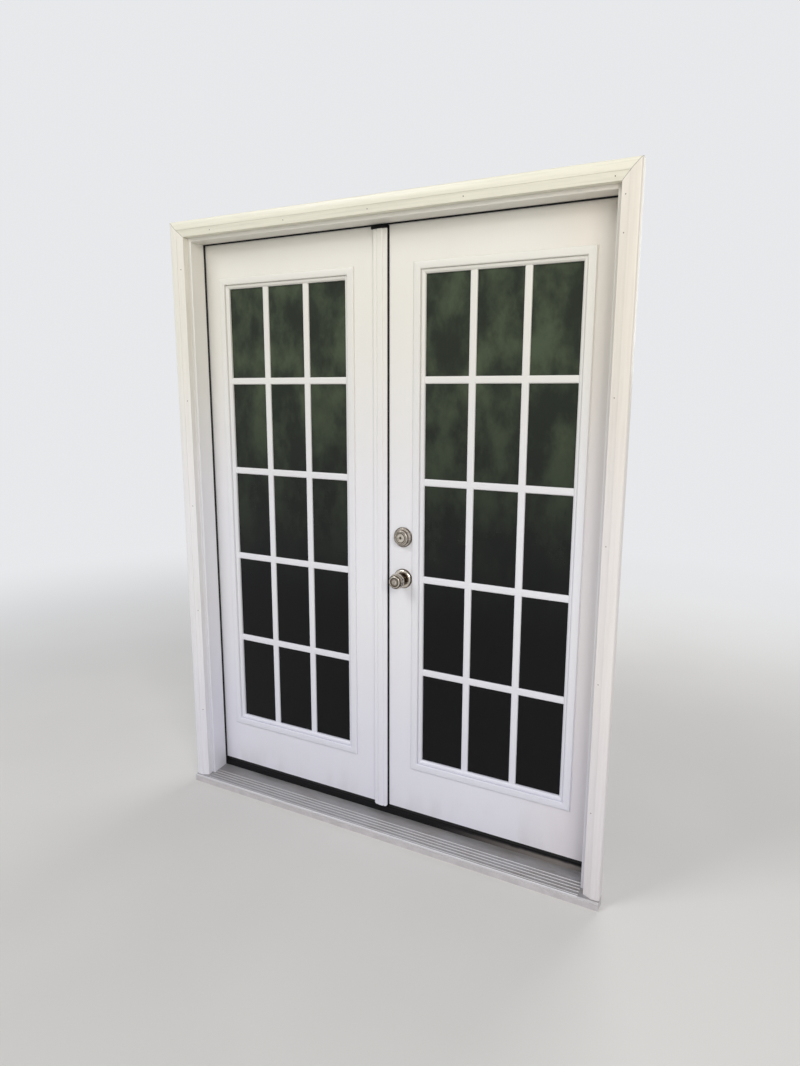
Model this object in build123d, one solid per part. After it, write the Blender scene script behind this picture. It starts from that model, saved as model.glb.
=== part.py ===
from build123d import *
import math
import os

# A pair of inswing glazed doors in one frame, as delivered ready hung.
# X runs along the doors, Y into the building, Z up. The origin is on the underside of
# the sill, midway between the leaves, in the plane of the leaves' outer faces.
# The leaf on the right is the active one, with the locks. The leaf on the left carries
# the astragal, the moulding that closes the gap between the two.
# Every length is in millimetres.

# Leaves
SLAB_WIDTH = 716.0
SLAB_HEIGHT = 1963.9
SLAB_THICK = 44.45
SLAB_BOTTOM = 69.6          # underside of the leaf above the underside of the sill
EDGE_GAP = 3.2              # leaf to jamb, at the sides and the head
SKIN = 0.6                  # sheet on each face
SKIN_HEM = 12.0             # sheet folded round the upright edges
STILE = 38.0                # timber inside the upright edges
RAIL = 38.0                 # timber inside the top and bottom edges

# Glazed insert of each leaf
HINGE_MARGIN = 71.3         # leaf's hinge edge to the insert
LOCK_MARGIN = 85.9          # leaf's meeting edge to the insert
TOP_MARGIN = 127.1
BOTTOM_MARGIN = 160.4
INSERT_LAP = 12.7           # insert's flange over the leaf's face
INSERT_PROUD = 6.6          # insert's crown ahead of the leaf's face
GLASS_MARGIN = 25.4         # insert's outer edge to the edge of the glass
SIGHT_MARGIN = 37.5         # insert's outer edge to the visible glass
GLASS_SETBACK = 12.7        # leaf's face to the face of the glass
PANE_THICK = 3.2
BAR_WIDTH = 23.0
BAR_COLUMNS = 3
BAR_ROWS = 5
SIDE_PANE_EXTRA = 1.3       # how much wider the panes beside the frame are
END_PANE_EXTRA = 7.3        # how much taller the panes at the top and bottom are
SEAT_GAP = 0.1              # between mouldings, glass and sheet that sit on each other

# Frame
JAMB_THICK = 19.05
JAMB_FRONT = 71.4           # leaves' outer face to the front edge of the jambs
STOP_PROUD = 12.7
STOP_SETBACK = 7.0          # stop's back ahead of the leaves' outer face
KERF_WIDTH = 3.0
KERF_DEPTH = 9.0
KERF_INSET = 4.1            # rabbet to the kerf
JAMB_EASE = 1.5
CASING_WIDTH = 50.8
CASING_THICK = 31.75
CASING_REVEAL = 12.7
CASING_FOOT = 15.0          # inner land of the moulding's back, on the jamb
CASING_LAND = 22.5          # outer land of the back, on the wall
CASING_RELIEF = 2.0         # hollow between the two lands

# Seals
STRIP_BULB = 4.5            # how far the strip stands out past the stop
STRIP_CLEAR = 0.4           # strip to leaf
STRIP_STEM = 2.4
STRIP_STEM_LENGTH = 8.0
PAD_THICK = 2.6
PAD_HEIGHT = 50.0
PAD_SETBACK = 3.0
FIN_PITCH = 9.0
FIN_THICK = 1.6
FIN_ROOT = 0.6              # how much thicker a fin is where it leaves the plate
FIN_LEAN = 1.2              # fin's tip ahead of its root
SWEEP_PLATE = 3.2
SWEEP_CLEAR = 0.5           # fins to threshold
SWEEP_INSET = 2.0           # sweep's plate inside the leaf's faces

# Sill
NOSE_FRONT = 113.0          # leaves' outer face to the nose of the sill
DECK_FRONT_TOP = 24.5
DECK_REAR_TOP = 37.5
DECK_THICK = 2.0
DECK_LIP_DROP = 5.0
DECK_RIDGES = 6
RIDGE_PITCH = 12.5
RIDGE_WIDTH = 2.6
RIDGE_HEIGHT = 1.3
NOSE_GROOVE = 3.0           # shadow groove under the lip
RISER_THICK = 10.0
RISER_TOP = 58.0
CAP_TOP = 58.5
CAP_SIDE_CLEAR = 0.3

# Hinges
HINGE_HEIGHT = 101.6
HINGE_LEAF = 38.1
HINGE_PLATE = 2.2
HINGE_TOP_DROP = 178.0      # leaf's top to the middle of the top hinge
HINGE_BOTTOM_RISE = 235.0   # leaf's bottom to the middle of the bottom hinge
KNUCKLES = 5
KNUCKLE_R = 6.2
KNUCKLE_PLAY = 0.3          # along the pin, between two knuckles
PIN_R = 3.9
PIN_FIT = 0.06
PIN_PROUD = 6.5             # pin's axis behind the leaf's inner face
PIN_HEAD_R = 5.4
PIN_HEAD = 3.0

# Astragal
MEETING_GAP = 3.6           # astragal to the active leaf
ASTRAGAL_STEM = 41.4        # width between the leaves
FLANGE_LAP = 10.2           # flange over the passive leaf's face
FLANGE_PROUD = 12.0
FLANGE_STEP = 2.4           # the middle bead ahead of the flats beside it
FLANGE_RETREAT = 0.9        # flange edge behind the stem's face
FLANGE_BEAD = 21.0          # width of the middle bead
FLANGE_TOP_DROP = 23.5      # leaf's top to the flange's top end
FLANGE_BOTTOM_DROP = 7.0    # flange's lower end below the leaf
FLANGE_ROUND = 9.0
SEAL_DEPTH = 4.4            # recess for the seal in the stem
SEAL_FRONT = 6.0            # recess begins this far ahead of the leaf's face
SEAL_BACK = 11.0
SEAL_PROUD = 1.4            # seal stands out past the stem's face
TOP_PAD = 8.6
TOP_PAD_OVERHANG = 4.3

# Flush bolts in the astragal
BOLT_ROD_R = 4.5
BOLT_LENGTH = 200.0
BOLT_THROW = 22.0
BOLT_INSET = 1.0            # rod's end behind the end of the stem
BOLT_FIT = 0.25
BOLT_NUB = 16.0
BOLT_NUB_THICK = 6.0
BOLT_NUB_PROUD = 0.4
BOLT_NUB_FROM_END = 150.0
BOLT_HOLE_R = 7.0
KEEPER_LENGTH = 60.0
KEEPER_WIDTH = 22.0
KEEPER_THICK = 1.6
KEEPER_SLOT = 18.0          # slot along the keeper, as wide as the hole under it

# Locks on the active leaf
BACKSET = 51.9
KNOB_HEIGHT = 836.0         # leaf's underside to the knob's axis
DEADBOLT_ABOVE_KNOB = 140.0
CROSS_BORE_R = 27.0
EDGE_BORE_R = 12.7
LOCK_BLOCK_REACH = 76.0     # timber block above and below the two locks
PLATE_HEIGHT = 57.0
PLATE_HALF_DEPTH = 10.8
PLATE_THICK = 2.0
CASE_R = 12.2
CASE_LENGTH = 38.0
BOLT_REST = 0.4             # drawn bolt behind the leaf's edge
BOLT_TAIL_CLEAR = 9.0       # drawn bolt's tail to the axis
BOLT_SLIDE_FIT = 0.3
DEADBOLT_DEPTH = 14.0
DEADBOLT_HEIGHT = 18.0
DEADBOLT_THROW = 25.4
LATCH_DEPTH = 12.0
LATCH_HEIGHT = 16.0
LATCH_THROW = 12.7
POCKET_SPARE = 2.0

ROSE_R = 33.0
ROSE_THICK = 9.0
KNOB_NECK_R = 12.0
KNOB_R = 26.5
KNOB_PROUD = 62.0
KNOB_FACE_R = 17.0
KNOB_DISH = 1.2             # how far the knob's face is sunk inside its rim
KNOB_RUN = 0.4
RING_GROOVE = 1.0           # grooves round the faces of the knob and the deadbolt
SPINDLE = 9.5
SPINDLE_FIT = 0.1
LOCK_BAR_R = 2.3
LOCK_BAR_BORE_R = 2.6
PLUG_R = 7.6
PLUG_LENGTH = 30.0
PLUG_FIT = 0.08
PLUG_PROUD = 0.8
KEYWAY_WIDTH = 1.8
KEYWAY_HEIGHT = 8.4
KEYWAY_DEPTH = 6.0
COLLAR_R = 33.0
COLLAR_FACE_R = 24.0
COLLAR_PROUD = 22.0
COLLAR_RING = 2.0
INNER_PLATE_THICK = 8.0
TURN_HUB_R = 9.0
TURN_LENGTH = 34.0
TURN_THICK = 8.0
TURN_PROUD = 26.0
TAIL_WIDTH = 6.4
TAIL_THICK = 2.6
BUTTON_BLADE = 3.0

# Places that follow from the sizes above
MEETING_EDGE = (ASTRAGAL_STEM + MEETING_GAP) / 2
HINGE_EDGE = MEETING_EDGE + SLAB_WIDTH
RABBET = HINGE_EDGE + EDGE_GAP
STOP_FACE = RABBET - STOP_PROUD
FRAME_SIDE = RABBET + JAMB_THICK
SLAB_TOP = SLAB_BOTTOM + SLAB_HEIGHT
HEAD_RABBET = SLAB_TOP + EDGE_GAP
HEAD_STOP = HEAD_RABBET - STOP_PROUD
FRAME_TOP = HEAD_RABBET + JAMB_THICK
FRONT = -JAMB_FRONT
STOP_BACK = -STOP_SETBACK
REAR = SLAB_THICK
MID_DEPTH = SLAB_THICK / 2
CASING_INNER = STOP_FACE + CASING_REVEAL
CASING_OUTER = CASING_INNER + CASING_WIDTH
CASING_HEAD_INNER = HEAD_STOP + CASING_REVEAL
CASING_TOP = CASING_HEAD_INNER + CASING_WIDTH
INSERT_X = (MEETING_EDGE + LOCK_MARGIN, HINGE_EDGE - HINGE_MARGIN)
INSERT_Z = (SLAB_BOTTOM + BOTTOM_MARGIN, SLAB_TOP - TOP_MARGIN)
PIN_X = HINGE_EDGE + EDGE_GAP / 2
PIN_Y = REAR + PIN_PROUD
HINGE_CENTRES = (SLAB_BOTTOM + HINGE_BOTTOM_RISE,
                 (SLAB_BOTTOM + HINGE_BOTTOM_RISE + SLAB_TOP - HINGE_TOP_DROP) / 2,
                 SLAB_TOP - HINGE_TOP_DROP)
STEM_FACE = MEETING_EDGE - MEETING_GAP
LOCK_X = MEETING_EDGE + BACKSET
KNOB_Z = SLAB_BOTTOM + KNOB_HEIGHT
DEADBOLT_Z = KNOB_Z + DEADBOLT_ABOVE_KNOB
BOLT_X = (STEM_FACE - MEETING_EDGE) / 2
DECK_SLOPE = (DECK_REAR_TOP - DECK_FRONT_TOP) / (NOSE_FRONT + STOP_BACK)

ACROSS = Plane.YZ
os.makedirs("parts", exist_ok=True)


def save(name, shape):
    """Write one sub-part to its own file."""
    export_step(shape, "parts/" + name + ".step")


def mirrored(shape):
    """The same piece on the other side of the middle."""
    return mirror(shape, about=ACROSS)


def block(x, y, z):
    """A box between pairs of lowest and highest coordinates."""
    centre = Pos((x[0] + x[1]) / 2, (y[0] + y[1]) / 2, (z[0] + z[1]) / 2)
    return centre * Box(x[1] - x[0], y[1] - y[0], z[1] - z[0])


def grown(span, amount):
    """A span made longer, or shorter, by the same amount at both ends."""
    return (span[0] - amount, span[1] + amount)


def outline(*steps):
    """A closed face. A step is a point, or a pair of points for an arc through the first."""
    start = steps[0]
    edges = []
    last = start
    for step in steps[1:]:
        if isinstance(step[0], tuple):
            edges.append(ThreePointArc(last, step[0], step[1]))
            last = step[1]
        else:
            edges.append(Line(last, step))
            last = step
    edges.append(Line(last, start))
    return make_face(edges)


def upright(face, z):
    """A section in X and Y drawn up from one height to another."""
    return extrude(Pos(0, 0, z[0]) * face, amount=z[1] - z[0], dir=(0, 0, 1))


def along(face, x):
    """A section in Y and Z drawn along X."""
    plane = Plane(origin=(x[0], 0, 0), x_dir=(0, 1, 0), z_dir=(1, 0, 0))
    return extrude(plane * face, amount=x[1] - x[0], dir=(1, 0, 0))


def through(face, y):
    """An outline in X and Z drawn along Y."""
    plane = Plane(origin=(0, y[0], 0), x_dir=(1, 0, 0), z_dir=(0, -1, 0))
    return extrude(plane * face, amount=y[1] - y[0], dir=(0, 1, 0))


def turned(face, x, z):
    """A half section in radius and Y turned about an axis along Y."""
    place = Pos(x, 0, z)
    return revolve(place * face, axis=Axis((x, 0, z), (0, 1, 0)))


def rod(x, y, z, radius):
    """A round bar along Y between two depths."""
    return Pos(x, (y[0] + y[1]) / 2, z) * Rot(90, 0, 0) * Cylinder(radius, y[1] - y[0])


def other_face(shape):
    """The same piece on the inner face of the leaf."""
    return mirror(shape, about=Plane(origin=(0, MID_DEPTH, 0), z_dir=(0, 1, 0)))


def mitred_ring(section, reach, x, z, y):
    """A rectangular frame with mitred corners. The section is given as inward and Y."""
    wide = x[1] - x[0]
    tall = z[1] - z[0]
    post_plane = Plane(origin=(0, 0, 0), x_dir=(1, 0, 0), z_dir=(0, 0, 1))
    post = extrude(post_plane * section, amount=tall, dir=(0, 0, 1))
    post = post & through(outline((0, 0), (reach, reach), (reach, tall - reach), (0, tall)), y)
    rail_plane = Plane(origin=(0, 0, 0), x_dir=(0, 0, 1), z_dir=(-1, 0, 0))
    rail = extrude(rail_plane * section, amount=wide, dir=(1, 0, 0))
    rail = rail & through(outline((0, 0), (wide, 0), (wide - reach, reach), (reach, reach)), y)
    far_post = mirror(post, about=Plane(origin=(wide / 2, 0, 0), z_dir=(1, 0, 0)))
    top_rail = mirror(rail, about=Plane(origin=(0, 0, tall / 2), z_dir=(0, 0, 1)))
    return Pos(x[0], 0, z[0]) * (post + far_post + rail + top_rail)


# Frame


def hinge_mortises(face, depth):
    """The shallow beds for the hinge plates, from one face into the edge beyond it."""
    beds = []
    for middle in HINGE_CENTRES:
        z = (middle - HINGE_HEIGHT / 2, middle + HINGE_HEIGHT / 2)
        beds.append(block(sorted((face, face + depth)), (REAR - HINGE_LEAF, REAR), z))
    return beds


def side_jamb():
    """The board beside a leaf, as tall as the whole frame."""
    board = block((RABBET, FRAME_SIDE), (FRONT, REAR), (0, FRAME_TOP))
    return board - hinge_mortises(RABBET, HINGE_PLATE)


def head_jamb():
    """The board over the leaves, with the bed and the hole for the upper keeper."""
    board = block((-RABBET, RABBET), (FRONT, REAR), (HEAD_RABBET, FRAME_TOP))
    board -= Pos(BOLT_X, MID_DEPTH, FRAME_TOP) * Cylinder(BOLT_HOLE_R, 2 * JAMB_THICK)
    return board - keeper_bed(HEAD_RABBET, 1)


def stop_section():
    """A stop seen from its end: outward from its face, and Y. It has the weatherstrip's kerf."""
    kerf = STOP_PROUD - KERF_INSET
    return outline((0, FRONT + JAMB_EASE), (JAMB_EASE, FRONT), (STOP_PROUD, FRONT),
                   (STOP_PROUD, STOP_BACK), (kerf, STOP_BACK), (kerf, STOP_BACK - KERF_DEPTH),
                   (kerf - KERF_WIDTH, STOP_BACK - KERF_DEPTH), (kerf - KERF_WIDTH, STOP_BACK),
                   (0, STOP_BACK))


def side_stop():
    return upright(Pos(STOP_FACE, 0) * stop_section(), (0, HEAD_RABBET))


def head_run(section):
    """A section, given as outward and Y, that runs along the head between the side stops."""
    plane = Plane(origin=(0, 0, HEAD_STOP), x_dir=(0, 0, 1), z_dir=(-1, 0, 0))
    return Pos(-STOP_FACE, 0, 0) * extrude(plane * section, amount=2 * STOP_FACE, dir=(1, 0, 0))


def keeper_bed(face_z, way):
    """The recess for a keeper, cut up from the face, or down from it."""
    z = sorted((face_z, face_z + way * KEEPER_THICK))
    x = grown((BOLT_X, BOLT_X), KEEPER_LENGTH / 2)
    return block(x, grown((MID_DEPTH, MID_DEPTH), KEEPER_WIDTH / 2), z)


def keeper(face_z, way):
    """A plate with a slot that a flush bolt shoots through."""
    x = grown((BOLT_X, BOLT_X), KEEPER_SLOT / 2)
    slot = block(x, grown((MID_DEPTH, MID_DEPTH), BOLT_HOLE_R), grown((face_z, face_z), 2 * KEEPER_THICK))
    return keeper_bed(face_z, way) - slot


def casing_section():
    """Brick moulding seen from its end: outward from the inner edge, and forward as minus Y."""
    wide = CASING_WIDTH
    thick = CASING_THICK
    return outline((0, 0), (0, -12.0), ((1.2, -15.6), (4.6, -17.0)), ((8.2, -16.6), (10.6, -18.2)),
                   ((15.0, -24.6), (21.6, -27.4)), (22.4, -thick + 1.2),
                   ((wide * 0.72, -thick), (wide - 5.0, -thick + 1.4)),
                   ((wide - 1.3, -thick + 3.2), (wide, -thick + 7.0)), (wide, 0),
                   (wide - CASING_LAND, 0), (wide - CASING_LAND, -CASING_RELIEF),
                   (CASING_FOOT, -CASING_RELIEF), (CASING_FOOT, 0))


def casing_side():
    """A leg of the casing, on the right, that stands on the sill and is mitred at the head."""
    section = Pos(CASING_INNER, FRONT) * casing_section()
    leg = upright(section, (0, CASING_TOP))
    reach = CASING_WIDTH
    corner = outline((CASING_INNER - reach, CASING_HEAD_INNER - reach), (CASING_OUTER, CASING_TOP),
                     (CASING_OUTER, CASING_TOP + reach), (CASING_INNER - reach, CASING_TOP + reach))
    depth = (FRONT - 2 * CASING_THICK, FRONT + CASING_THICK)
    return leg - through(corner, depth) - sill_envelope(CASING_OUTER + CASING_WIDTH)


def casing_head():
    plane = Plane(origin=(0, FRONT, CASING_HEAD_INNER), x_dir=(0, 0, 1), z_dir=(-1, 0, 0))
    length = 2 * CASING_OUTER
    rail = extrude(plane * casing_section(), amount=length, dir=(1, 0, 0))
    rail = Pos(-CASING_OUTER, 0, 0) * rail
    keep = outline((-CASING_INNER, CASING_HEAD_INNER), (CASING_INNER, CASING_HEAD_INNER),
                   (CASING_OUTER, CASING_TOP), (-CASING_OUTER, CASING_TOP))
    return rail & through(keep, (FRONT - 2 * CASING_THICK, FRONT + CASING_THICK))


def strip_section():
    """Weatherstrip: outward from the stop's face, and Y. A stem sits in the kerf."""
    back = -STRIP_CLEAR
    middle = (STOP_BACK + back) / 2
    kerf = STOP_PROUD - KERF_INSET - KERF_WIDTH / 2
    edge = STOP_PROUD - EDGE_GAP
    return outline((0, STOP_BACK), ((-STRIP_BULB, middle), (0, back)), (edge - 1.0, back),
                   (edge, back - 1.0), (edge, STOP_BACK), (kerf + STRIP_STEM / 2, STOP_BACK),
                   (kerf + STRIP_STEM / 2, STOP_BACK - STRIP_STEM_LENGTH),
                   (kerf - STRIP_STEM / 2, STOP_BACK - STRIP_STEM_LENGTH),
                   (kerf - STRIP_STEM / 2, STOP_BACK))


def side_strip():
    top = HEAD_STOP - STRIP_BULB - SEAT_GAP
    return upright(Pos(STOP_FACE, 0) * strip_section(), (RISER_TOP, top))


def corner_pad():
    """Foam pad on the jamb, low down where the strip ends."""
    z = (CAP_TOP + SEAT_GAP, CAP_TOP + PAD_HEIGHT)
    return block((RABBET - PAD_THICK, RABBET), (PAD_SETBACK, REAR - PAD_SETBACK), z)


# Sill


def deck_height(y):
    """Top of the sloping deck at a depth."""
    return DECK_REAR_TOP + DECK_SLOPE * (y - STOP_BACK)


def sill_plan(side):
    """Plan of the sill: horns under the casing, then between the stops and the rabbets."""
    right = ((side, -NOSE_FRONT), (side, FRONT), (STOP_FACE, FRONT), (STOP_FACE, STOP_BACK),
             (RABBET, STOP_BACK), (RABBET, REAR))
    left = tuple((-x, y) for x, y in reversed(right))
    return outline(*right, *left)


def sill_envelope(side):
    """Everything below the deck's top, ahead of the jambs."""
    section = outline((-NOSE_FRONT, 0), (-NOSE_FRONT, deck_height(-NOSE_FRONT)),
                      (FRONT, deck_height(FRONT)), (FRONT, 0))
    return along(section, (-side, side))


def sill_substrate():
    """The composite core, whose nose shows below the deck."""
    under = -DECK_THICK
    rear = RISER_THICK + STOP_BACK
    section = outline((-NOSE_FRONT, 0), (-NOSE_FRONT, DECK_FRONT_TOP - DECK_LIP_DROP - NOSE_GROOVE),
                      (-NOSE_FRONT + NOSE_GROOVE, DECK_FRONT_TOP - DECK_LIP_DROP),
                      (-NOSE_FRONT + NOSE_GROOVE, deck_height(-NOSE_FRONT + NOSE_GROOVE) + under),
                      (rear, deck_height(rear) + under), (REAR, deck_height(rear) + under), (REAR, 0))
    body = along(section, (-CASING_OUTER, CASING_OUTER))
    return body & upright(sill_plan(CASING_OUTER), (0, 2 * DECK_REAR_TOP))


def deck_ridge(front):
    """A raised line along the deck, for grip."""
    back = front + RIDGE_WIDTH
    slant = RIDGE_WIDTH / 4
    section = outline((front, deck_height(front)), (front + slant, deck_height(front) + RIDGE_HEIGHT),
                      (back - slant, deck_height(back) + RIDGE_HEIGHT), (back, deck_height(back)))
    return along(section, (-STOP_FACE, STOP_FACE))


def sill_deck():
    """The ribbed metal deck, turned down at the nose and under the riser at the back."""
    rear = RISER_THICK + STOP_BACK
    lip = -NOSE_FRONT + NOSE_GROOVE
    under = DECK_FRONT_TOP - DECK_LIP_DROP
    section = outline((-NOSE_FRONT, under), (-NOSE_FRONT, deck_height(-NOSE_FRONT)),
                      (rear, deck_height(rear)), (rear, deck_height(rear) - DECK_THICK),
                      (lip, deck_height(lip) - DECK_THICK), (lip, under))
    deck = along(section, (-CASING_OUTER, CASING_OUTER))
    deck = deck & upright(sill_plan(CASING_OUTER), (0, 2 * DECK_REAR_TOP))
    first = -NOSE_FRONT + RIDGE_WIDTH
    for count in range(DECK_RIDGES):
        place = first + RIDGE_PITCH * (count - 0.5) if count else first
        deck += deck_ridge(place)
    return deck


def sill_riser():
    """The dark dam that stands on the back of the deck."""
    rear = RISER_THICK + STOP_BACK
    section = outline((STOP_BACK, deck_height(STOP_BACK)), (STOP_BACK + 1.6, RISER_TOP - 6.0),
                      ((STOP_BACK + 3.4, RISER_TOP - 1.6), (STOP_BACK + 7.0, RISER_TOP)),
                      (rear, RISER_TOP), (rear, deck_height(rear)))
    return along(section, (-STOP_FACE, STOP_FACE))


def threshold_cap():
    """The height-adjusted strip under the leaves, eased at both edges, with the lower keeper's bed."""
    front = RISER_THICK + STOP_BACK
    foot = deck_height(front) - DECK_THICK
    section = outline((front, foot), (front, CAP_TOP - 1.5),
                      ((front + 2.0, CAP_TOP - 0.4), (front + 6.0, CAP_TOP)), (REAR - 10.0, CAP_TOP),
                      ((REAR - 4.0, CAP_TOP - 1.4), (REAR, CAP_TOP - 4.8)), (REAR, foot))
    side = RABBET - CAP_SIDE_CLEAR
    cap = along(section, (-side, side))
    cap -= Pos(BOLT_X, MID_DEPTH, CAP_TOP) * Cylinder(BOLT_HOLE_R, 2 * BOLT_THROW)
    return cap - keeper_bed(CAP_TOP, -1)


# Hinges


def knuckle_heights(middle, ours):
    """The heights of the knuckles that belong to one plate."""
    pitch = HINGE_HEIGHT / KNUCKLES
    foot = middle - HINGE_HEIGHT / 2
    for count in range(KNUCKLES):
        if count % 2 == ours:
            yield (foot + pitch * count + KNUCKLE_PLAY / 2, foot + pitch * (count + 1) - KNUCKLE_PLAY / 2)


def hinge_plate(middle, face, way, ours):
    """One plate of a hinge with its knuckles. The plate lies from its face into the edge."""
    x = sorted((face, face + way * HINGE_PLATE))
    foot = middle - HINGE_HEIGHT / 2
    plate = block(x, (REAR - HINGE_LEAF, REAR), (foot, foot + HINGE_HEIGHT))
    for low, high in knuckle_heights(middle, ours):
        barrel = Pos(PIN_X, PIN_Y, (low + high) / 2) * Cylinder(KNUCKLE_R, high - low)
        plate += barrel + block(x, (REAR, PIN_Y), (low, high))
    return plate - Pos(PIN_X, PIN_Y, middle) * Cylinder(PIN_R + PIN_FIT, 2 * HINGE_HEIGHT)


def hinge_pin(middle):
    """A pin with a flat head on top and a button below."""
    half = HINGE_HEIGHT / 2
    head = SEAT_GAP + PIN_HEAD
    section = outline((0, -half - head), (PIN_HEAD_R - 1.5, -half - head),
                      ((PIN_HEAD_R - 0.4, -half - head + 0.6), (PIN_HEAD_R, -half - head + 1.6)),
                      (PIN_HEAD_R, -half - SEAT_GAP), (PIN_R, -half - SEAT_GAP), (PIN_R, half + SEAT_GAP),
                      (PIN_HEAD_R, half + SEAT_GAP), (PIN_HEAD_R, half + head - 1.0),
                      (PIN_HEAD_R - 1.0, half + head), (0, half + head))
    plane = Plane(origin=(0, 0, 0), x_dir=(1, 0, 0), z_dir=(0, -1, 0))
    return Pos(PIN_X, PIN_Y, middle) * revolve(plane * section, axis=Axis.Z)


# Leaves


def cutout():
    """The hole through a leaf for its glazed insert."""
    return block(grown(INSERT_X, -INSERT_LAP), grown((0, REAR), 5.0), grown(INSERT_Z, -INSERT_LAP))


def lock_bores():
    """The round holes for the two locks, through the leaf and in from its edge."""
    bores = []
    for z in (KNOB_Z, DEADBOLT_Z):
        bores.append(rod(LOCK_X, grown((0, REAR), 5.0), z, CROSS_BORE_R))
        edge = Pos((MEETING_EDGE + LOCK_X) / 2, MID_DEPTH, z) * Rot(0, 90, 0)
        bores.append(edge * Cylinder(EDGE_BORE_R, BACKSET + 2.0))
        bores.append(plate_bed(MEETING_EDGE, 1, z))
    return bores


def plate_bed(face, way, z):
    """The recess for a lock's plate in an upright edge."""
    x = sorted((face, face + way * PLATE_THICK))
    return block(x, grown((MID_DEPTH, MID_DEPTH), PLATE_HALF_DEPTH), grown((z, z), PLATE_HEIGHT / 2))


def edge_frame(locked):
    """The timber round the edge of a leaf, with a block behind the locks."""
    x = grown((MEETING_EDGE, HINGE_EDGE), -SKIN)
    y = (SKIN, REAR - SKIN)
    z = (SLAB_BOTTOM, SLAB_TOP)
    inner = block((x[0] + STILE, x[1] - STILE), (0, REAR), grown(z, -RAIL))
    if locked:
        inner -= lock_block()
    frame = block(x, y, z) - inner
    frame -= hinge_mortises(HINGE_EDGE, -HINGE_PLATE)
    return frame - lock_bores() if locked else frame


def lock_block():
    """Timber between the meeting stile and the insert, at the height of the locks."""
    z = (KNOB_Z - LOCK_BLOCK_REACH, DEADBOLT_Z + LOCK_BLOCK_REACH)
    return block((MEETING_EDGE, INSERT_X[0] + INSERT_LAP), (SKIN, REAR - SKIN), z)


def foam_core(locked):
    """The stiff foam that fills a leaf round the insert."""
    x = grown((MEETING_EDGE, HINGE_EDGE), -SKIN - STILE)
    z = grown((SLAB_BOTTOM, SLAB_TOP), -RAIL)
    core = block(x, (SKIN, REAR - SKIN), z) - cutout()
    return core - lock_block() if locked else core


def skin_outer(locked):
    """The sheet on a leaf's face, folded round its two upright edges."""
    z = (SLAB_BOTTOM, SLAB_TOP)
    sheet = block((MEETING_EDGE, HINGE_EDGE), (0, SKIN), z)
    sheet += block((MEETING_EDGE, MEETING_EDGE + SKIN), (0, SKIN_HEM), z)
    sheet += block((HINGE_EDGE - SKIN, HINGE_EDGE), (0, SKIN_HEM), z)
    sheet = sheet - cutout() - hinge_mortises(HINGE_EDGE, -HINGE_PLATE)
    return sheet - lock_bores() if locked else sheet


def skin_inner(locked):
    return other_face(skin_outer(locked)) - hinge_mortises(HINGE_EDGE, -HINGE_PLATE)


def insert_section():
    """The insert's frame: inward from its outer edge, and Y. Its lip holds the glass."""
    crown = -INSERT_PROUD
    leg = GLASS_MARGIN - 0.3
    lip_front = GLASS_SETBACK - 4.1
    lip_back = GLASS_SETBACK - SEAT_GAP
    return outline((0, 0), (0, crown + 5.0), ((1.1, crown + 2.0), (4.0, crown + 0.6)),
                   ((12.0, crown), (20.5, crown + 0.3)), ((23.2, crown + 1.2), (24.6, crown + 3.6)),
                   (24.6, lip_front), (34.5, lip_front), (34.5, lip_back), (leg, lip_back),
                   (leg, MID_DEPTH - SEAT_GAP), (INSERT_LAP + SEAT_GAP, MID_DEPTH - SEAT_GAP),
                   (INSERT_LAP + SEAT_GAP, 0))


def insert_frame():
    depth = (-2 * INSERT_PROUD, REAR)
    return mitred_ring(insert_section(), 34.5, INSERT_X, INSERT_Z, depth)


def rim_section():
    """Edge of the bar grid, that sits on the insert's lip and on the glass."""
    lip = GLASS_SETBACK - 4.1
    glass = GLASS_SETBACK - SEAT_GAP
    return outline((24.8, lip), (24.8, 2.0), ((25.4, 1.0), (26.6, 0.7)),
                   ((31.6, 1.6), (35.4, 4.6)), ((36.9, 6.0), (SIGHT_MARGIN, 7.8)),
                   (SIGHT_MARGIN, glass), (34.7, glass), (34.7, lip))


def bar_section():
    """Glazing bar: across from its middle line, and Y."""
    half = BAR_WIDTH / 2
    glass = GLASS_SETBACK - SEAT_GAP
    top = GLASS_SETBACK - 6.3
    shoulder = GLASS_SETBACK - 3.0
    return outline((-half, glass), (-half, shoulder), ((-half + 1.4, top + 1.2), (-half + 4.6, top)),
                   (half - 4.6, top), ((half - 1.4, top + 1.2), (half, shoulder)), (half, glass))


def bar_places(span, cells, extra):
    """Middle lines of the bars between the visible edges of the glass."""
    low, high = grown(span, -SIGHT_MARGIN)
    pitch = (high - low - 2 * extra - (cells - 1) * BAR_WIDTH) / cells + BAR_WIDTH
    middle = (low + high) / 2
    for count in range(cells - 1):
        yield middle + pitch * (count - (cells - 2) / 2)


def bar_grid():
    """The grid of glazing bars with its rim, one moulding."""
    grid = mitred_ring(rim_section(), SIGHT_MARGIN, INSERT_X, INSERT_Z, (-INSERT_PROUD, REAR))
    end = SIGHT_MARGIN - 1.0
    for x in bar_places(INSERT_X, BAR_COLUMNS, SIDE_PANE_EXTRA):
        grid += upright(Pos(x, 0) * bar_section(), grown(INSERT_Z, -end))
    low, high = grown(INSERT_X, -end)
    for z in bar_places(INSERT_Z, BAR_ROWS, END_PANE_EXTRA):
        plane = Plane(origin=(low, 0, z), x_dir=(0, 0, 1), z_dir=(-1, 0, 0))
        grid += extrude(plane * bar_section(), amount=high - low, dir=(1, 0, 0))
    return grid


def pane():
    """The outer of the two sheets of glass."""
    y = (GLASS_SETBACK, GLASS_SETBACK + PANE_THICK)
    return block(grown(INSERT_X, -GLASS_MARGIN), y, grown(INSERT_Z, -GLASS_MARGIN))


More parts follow.
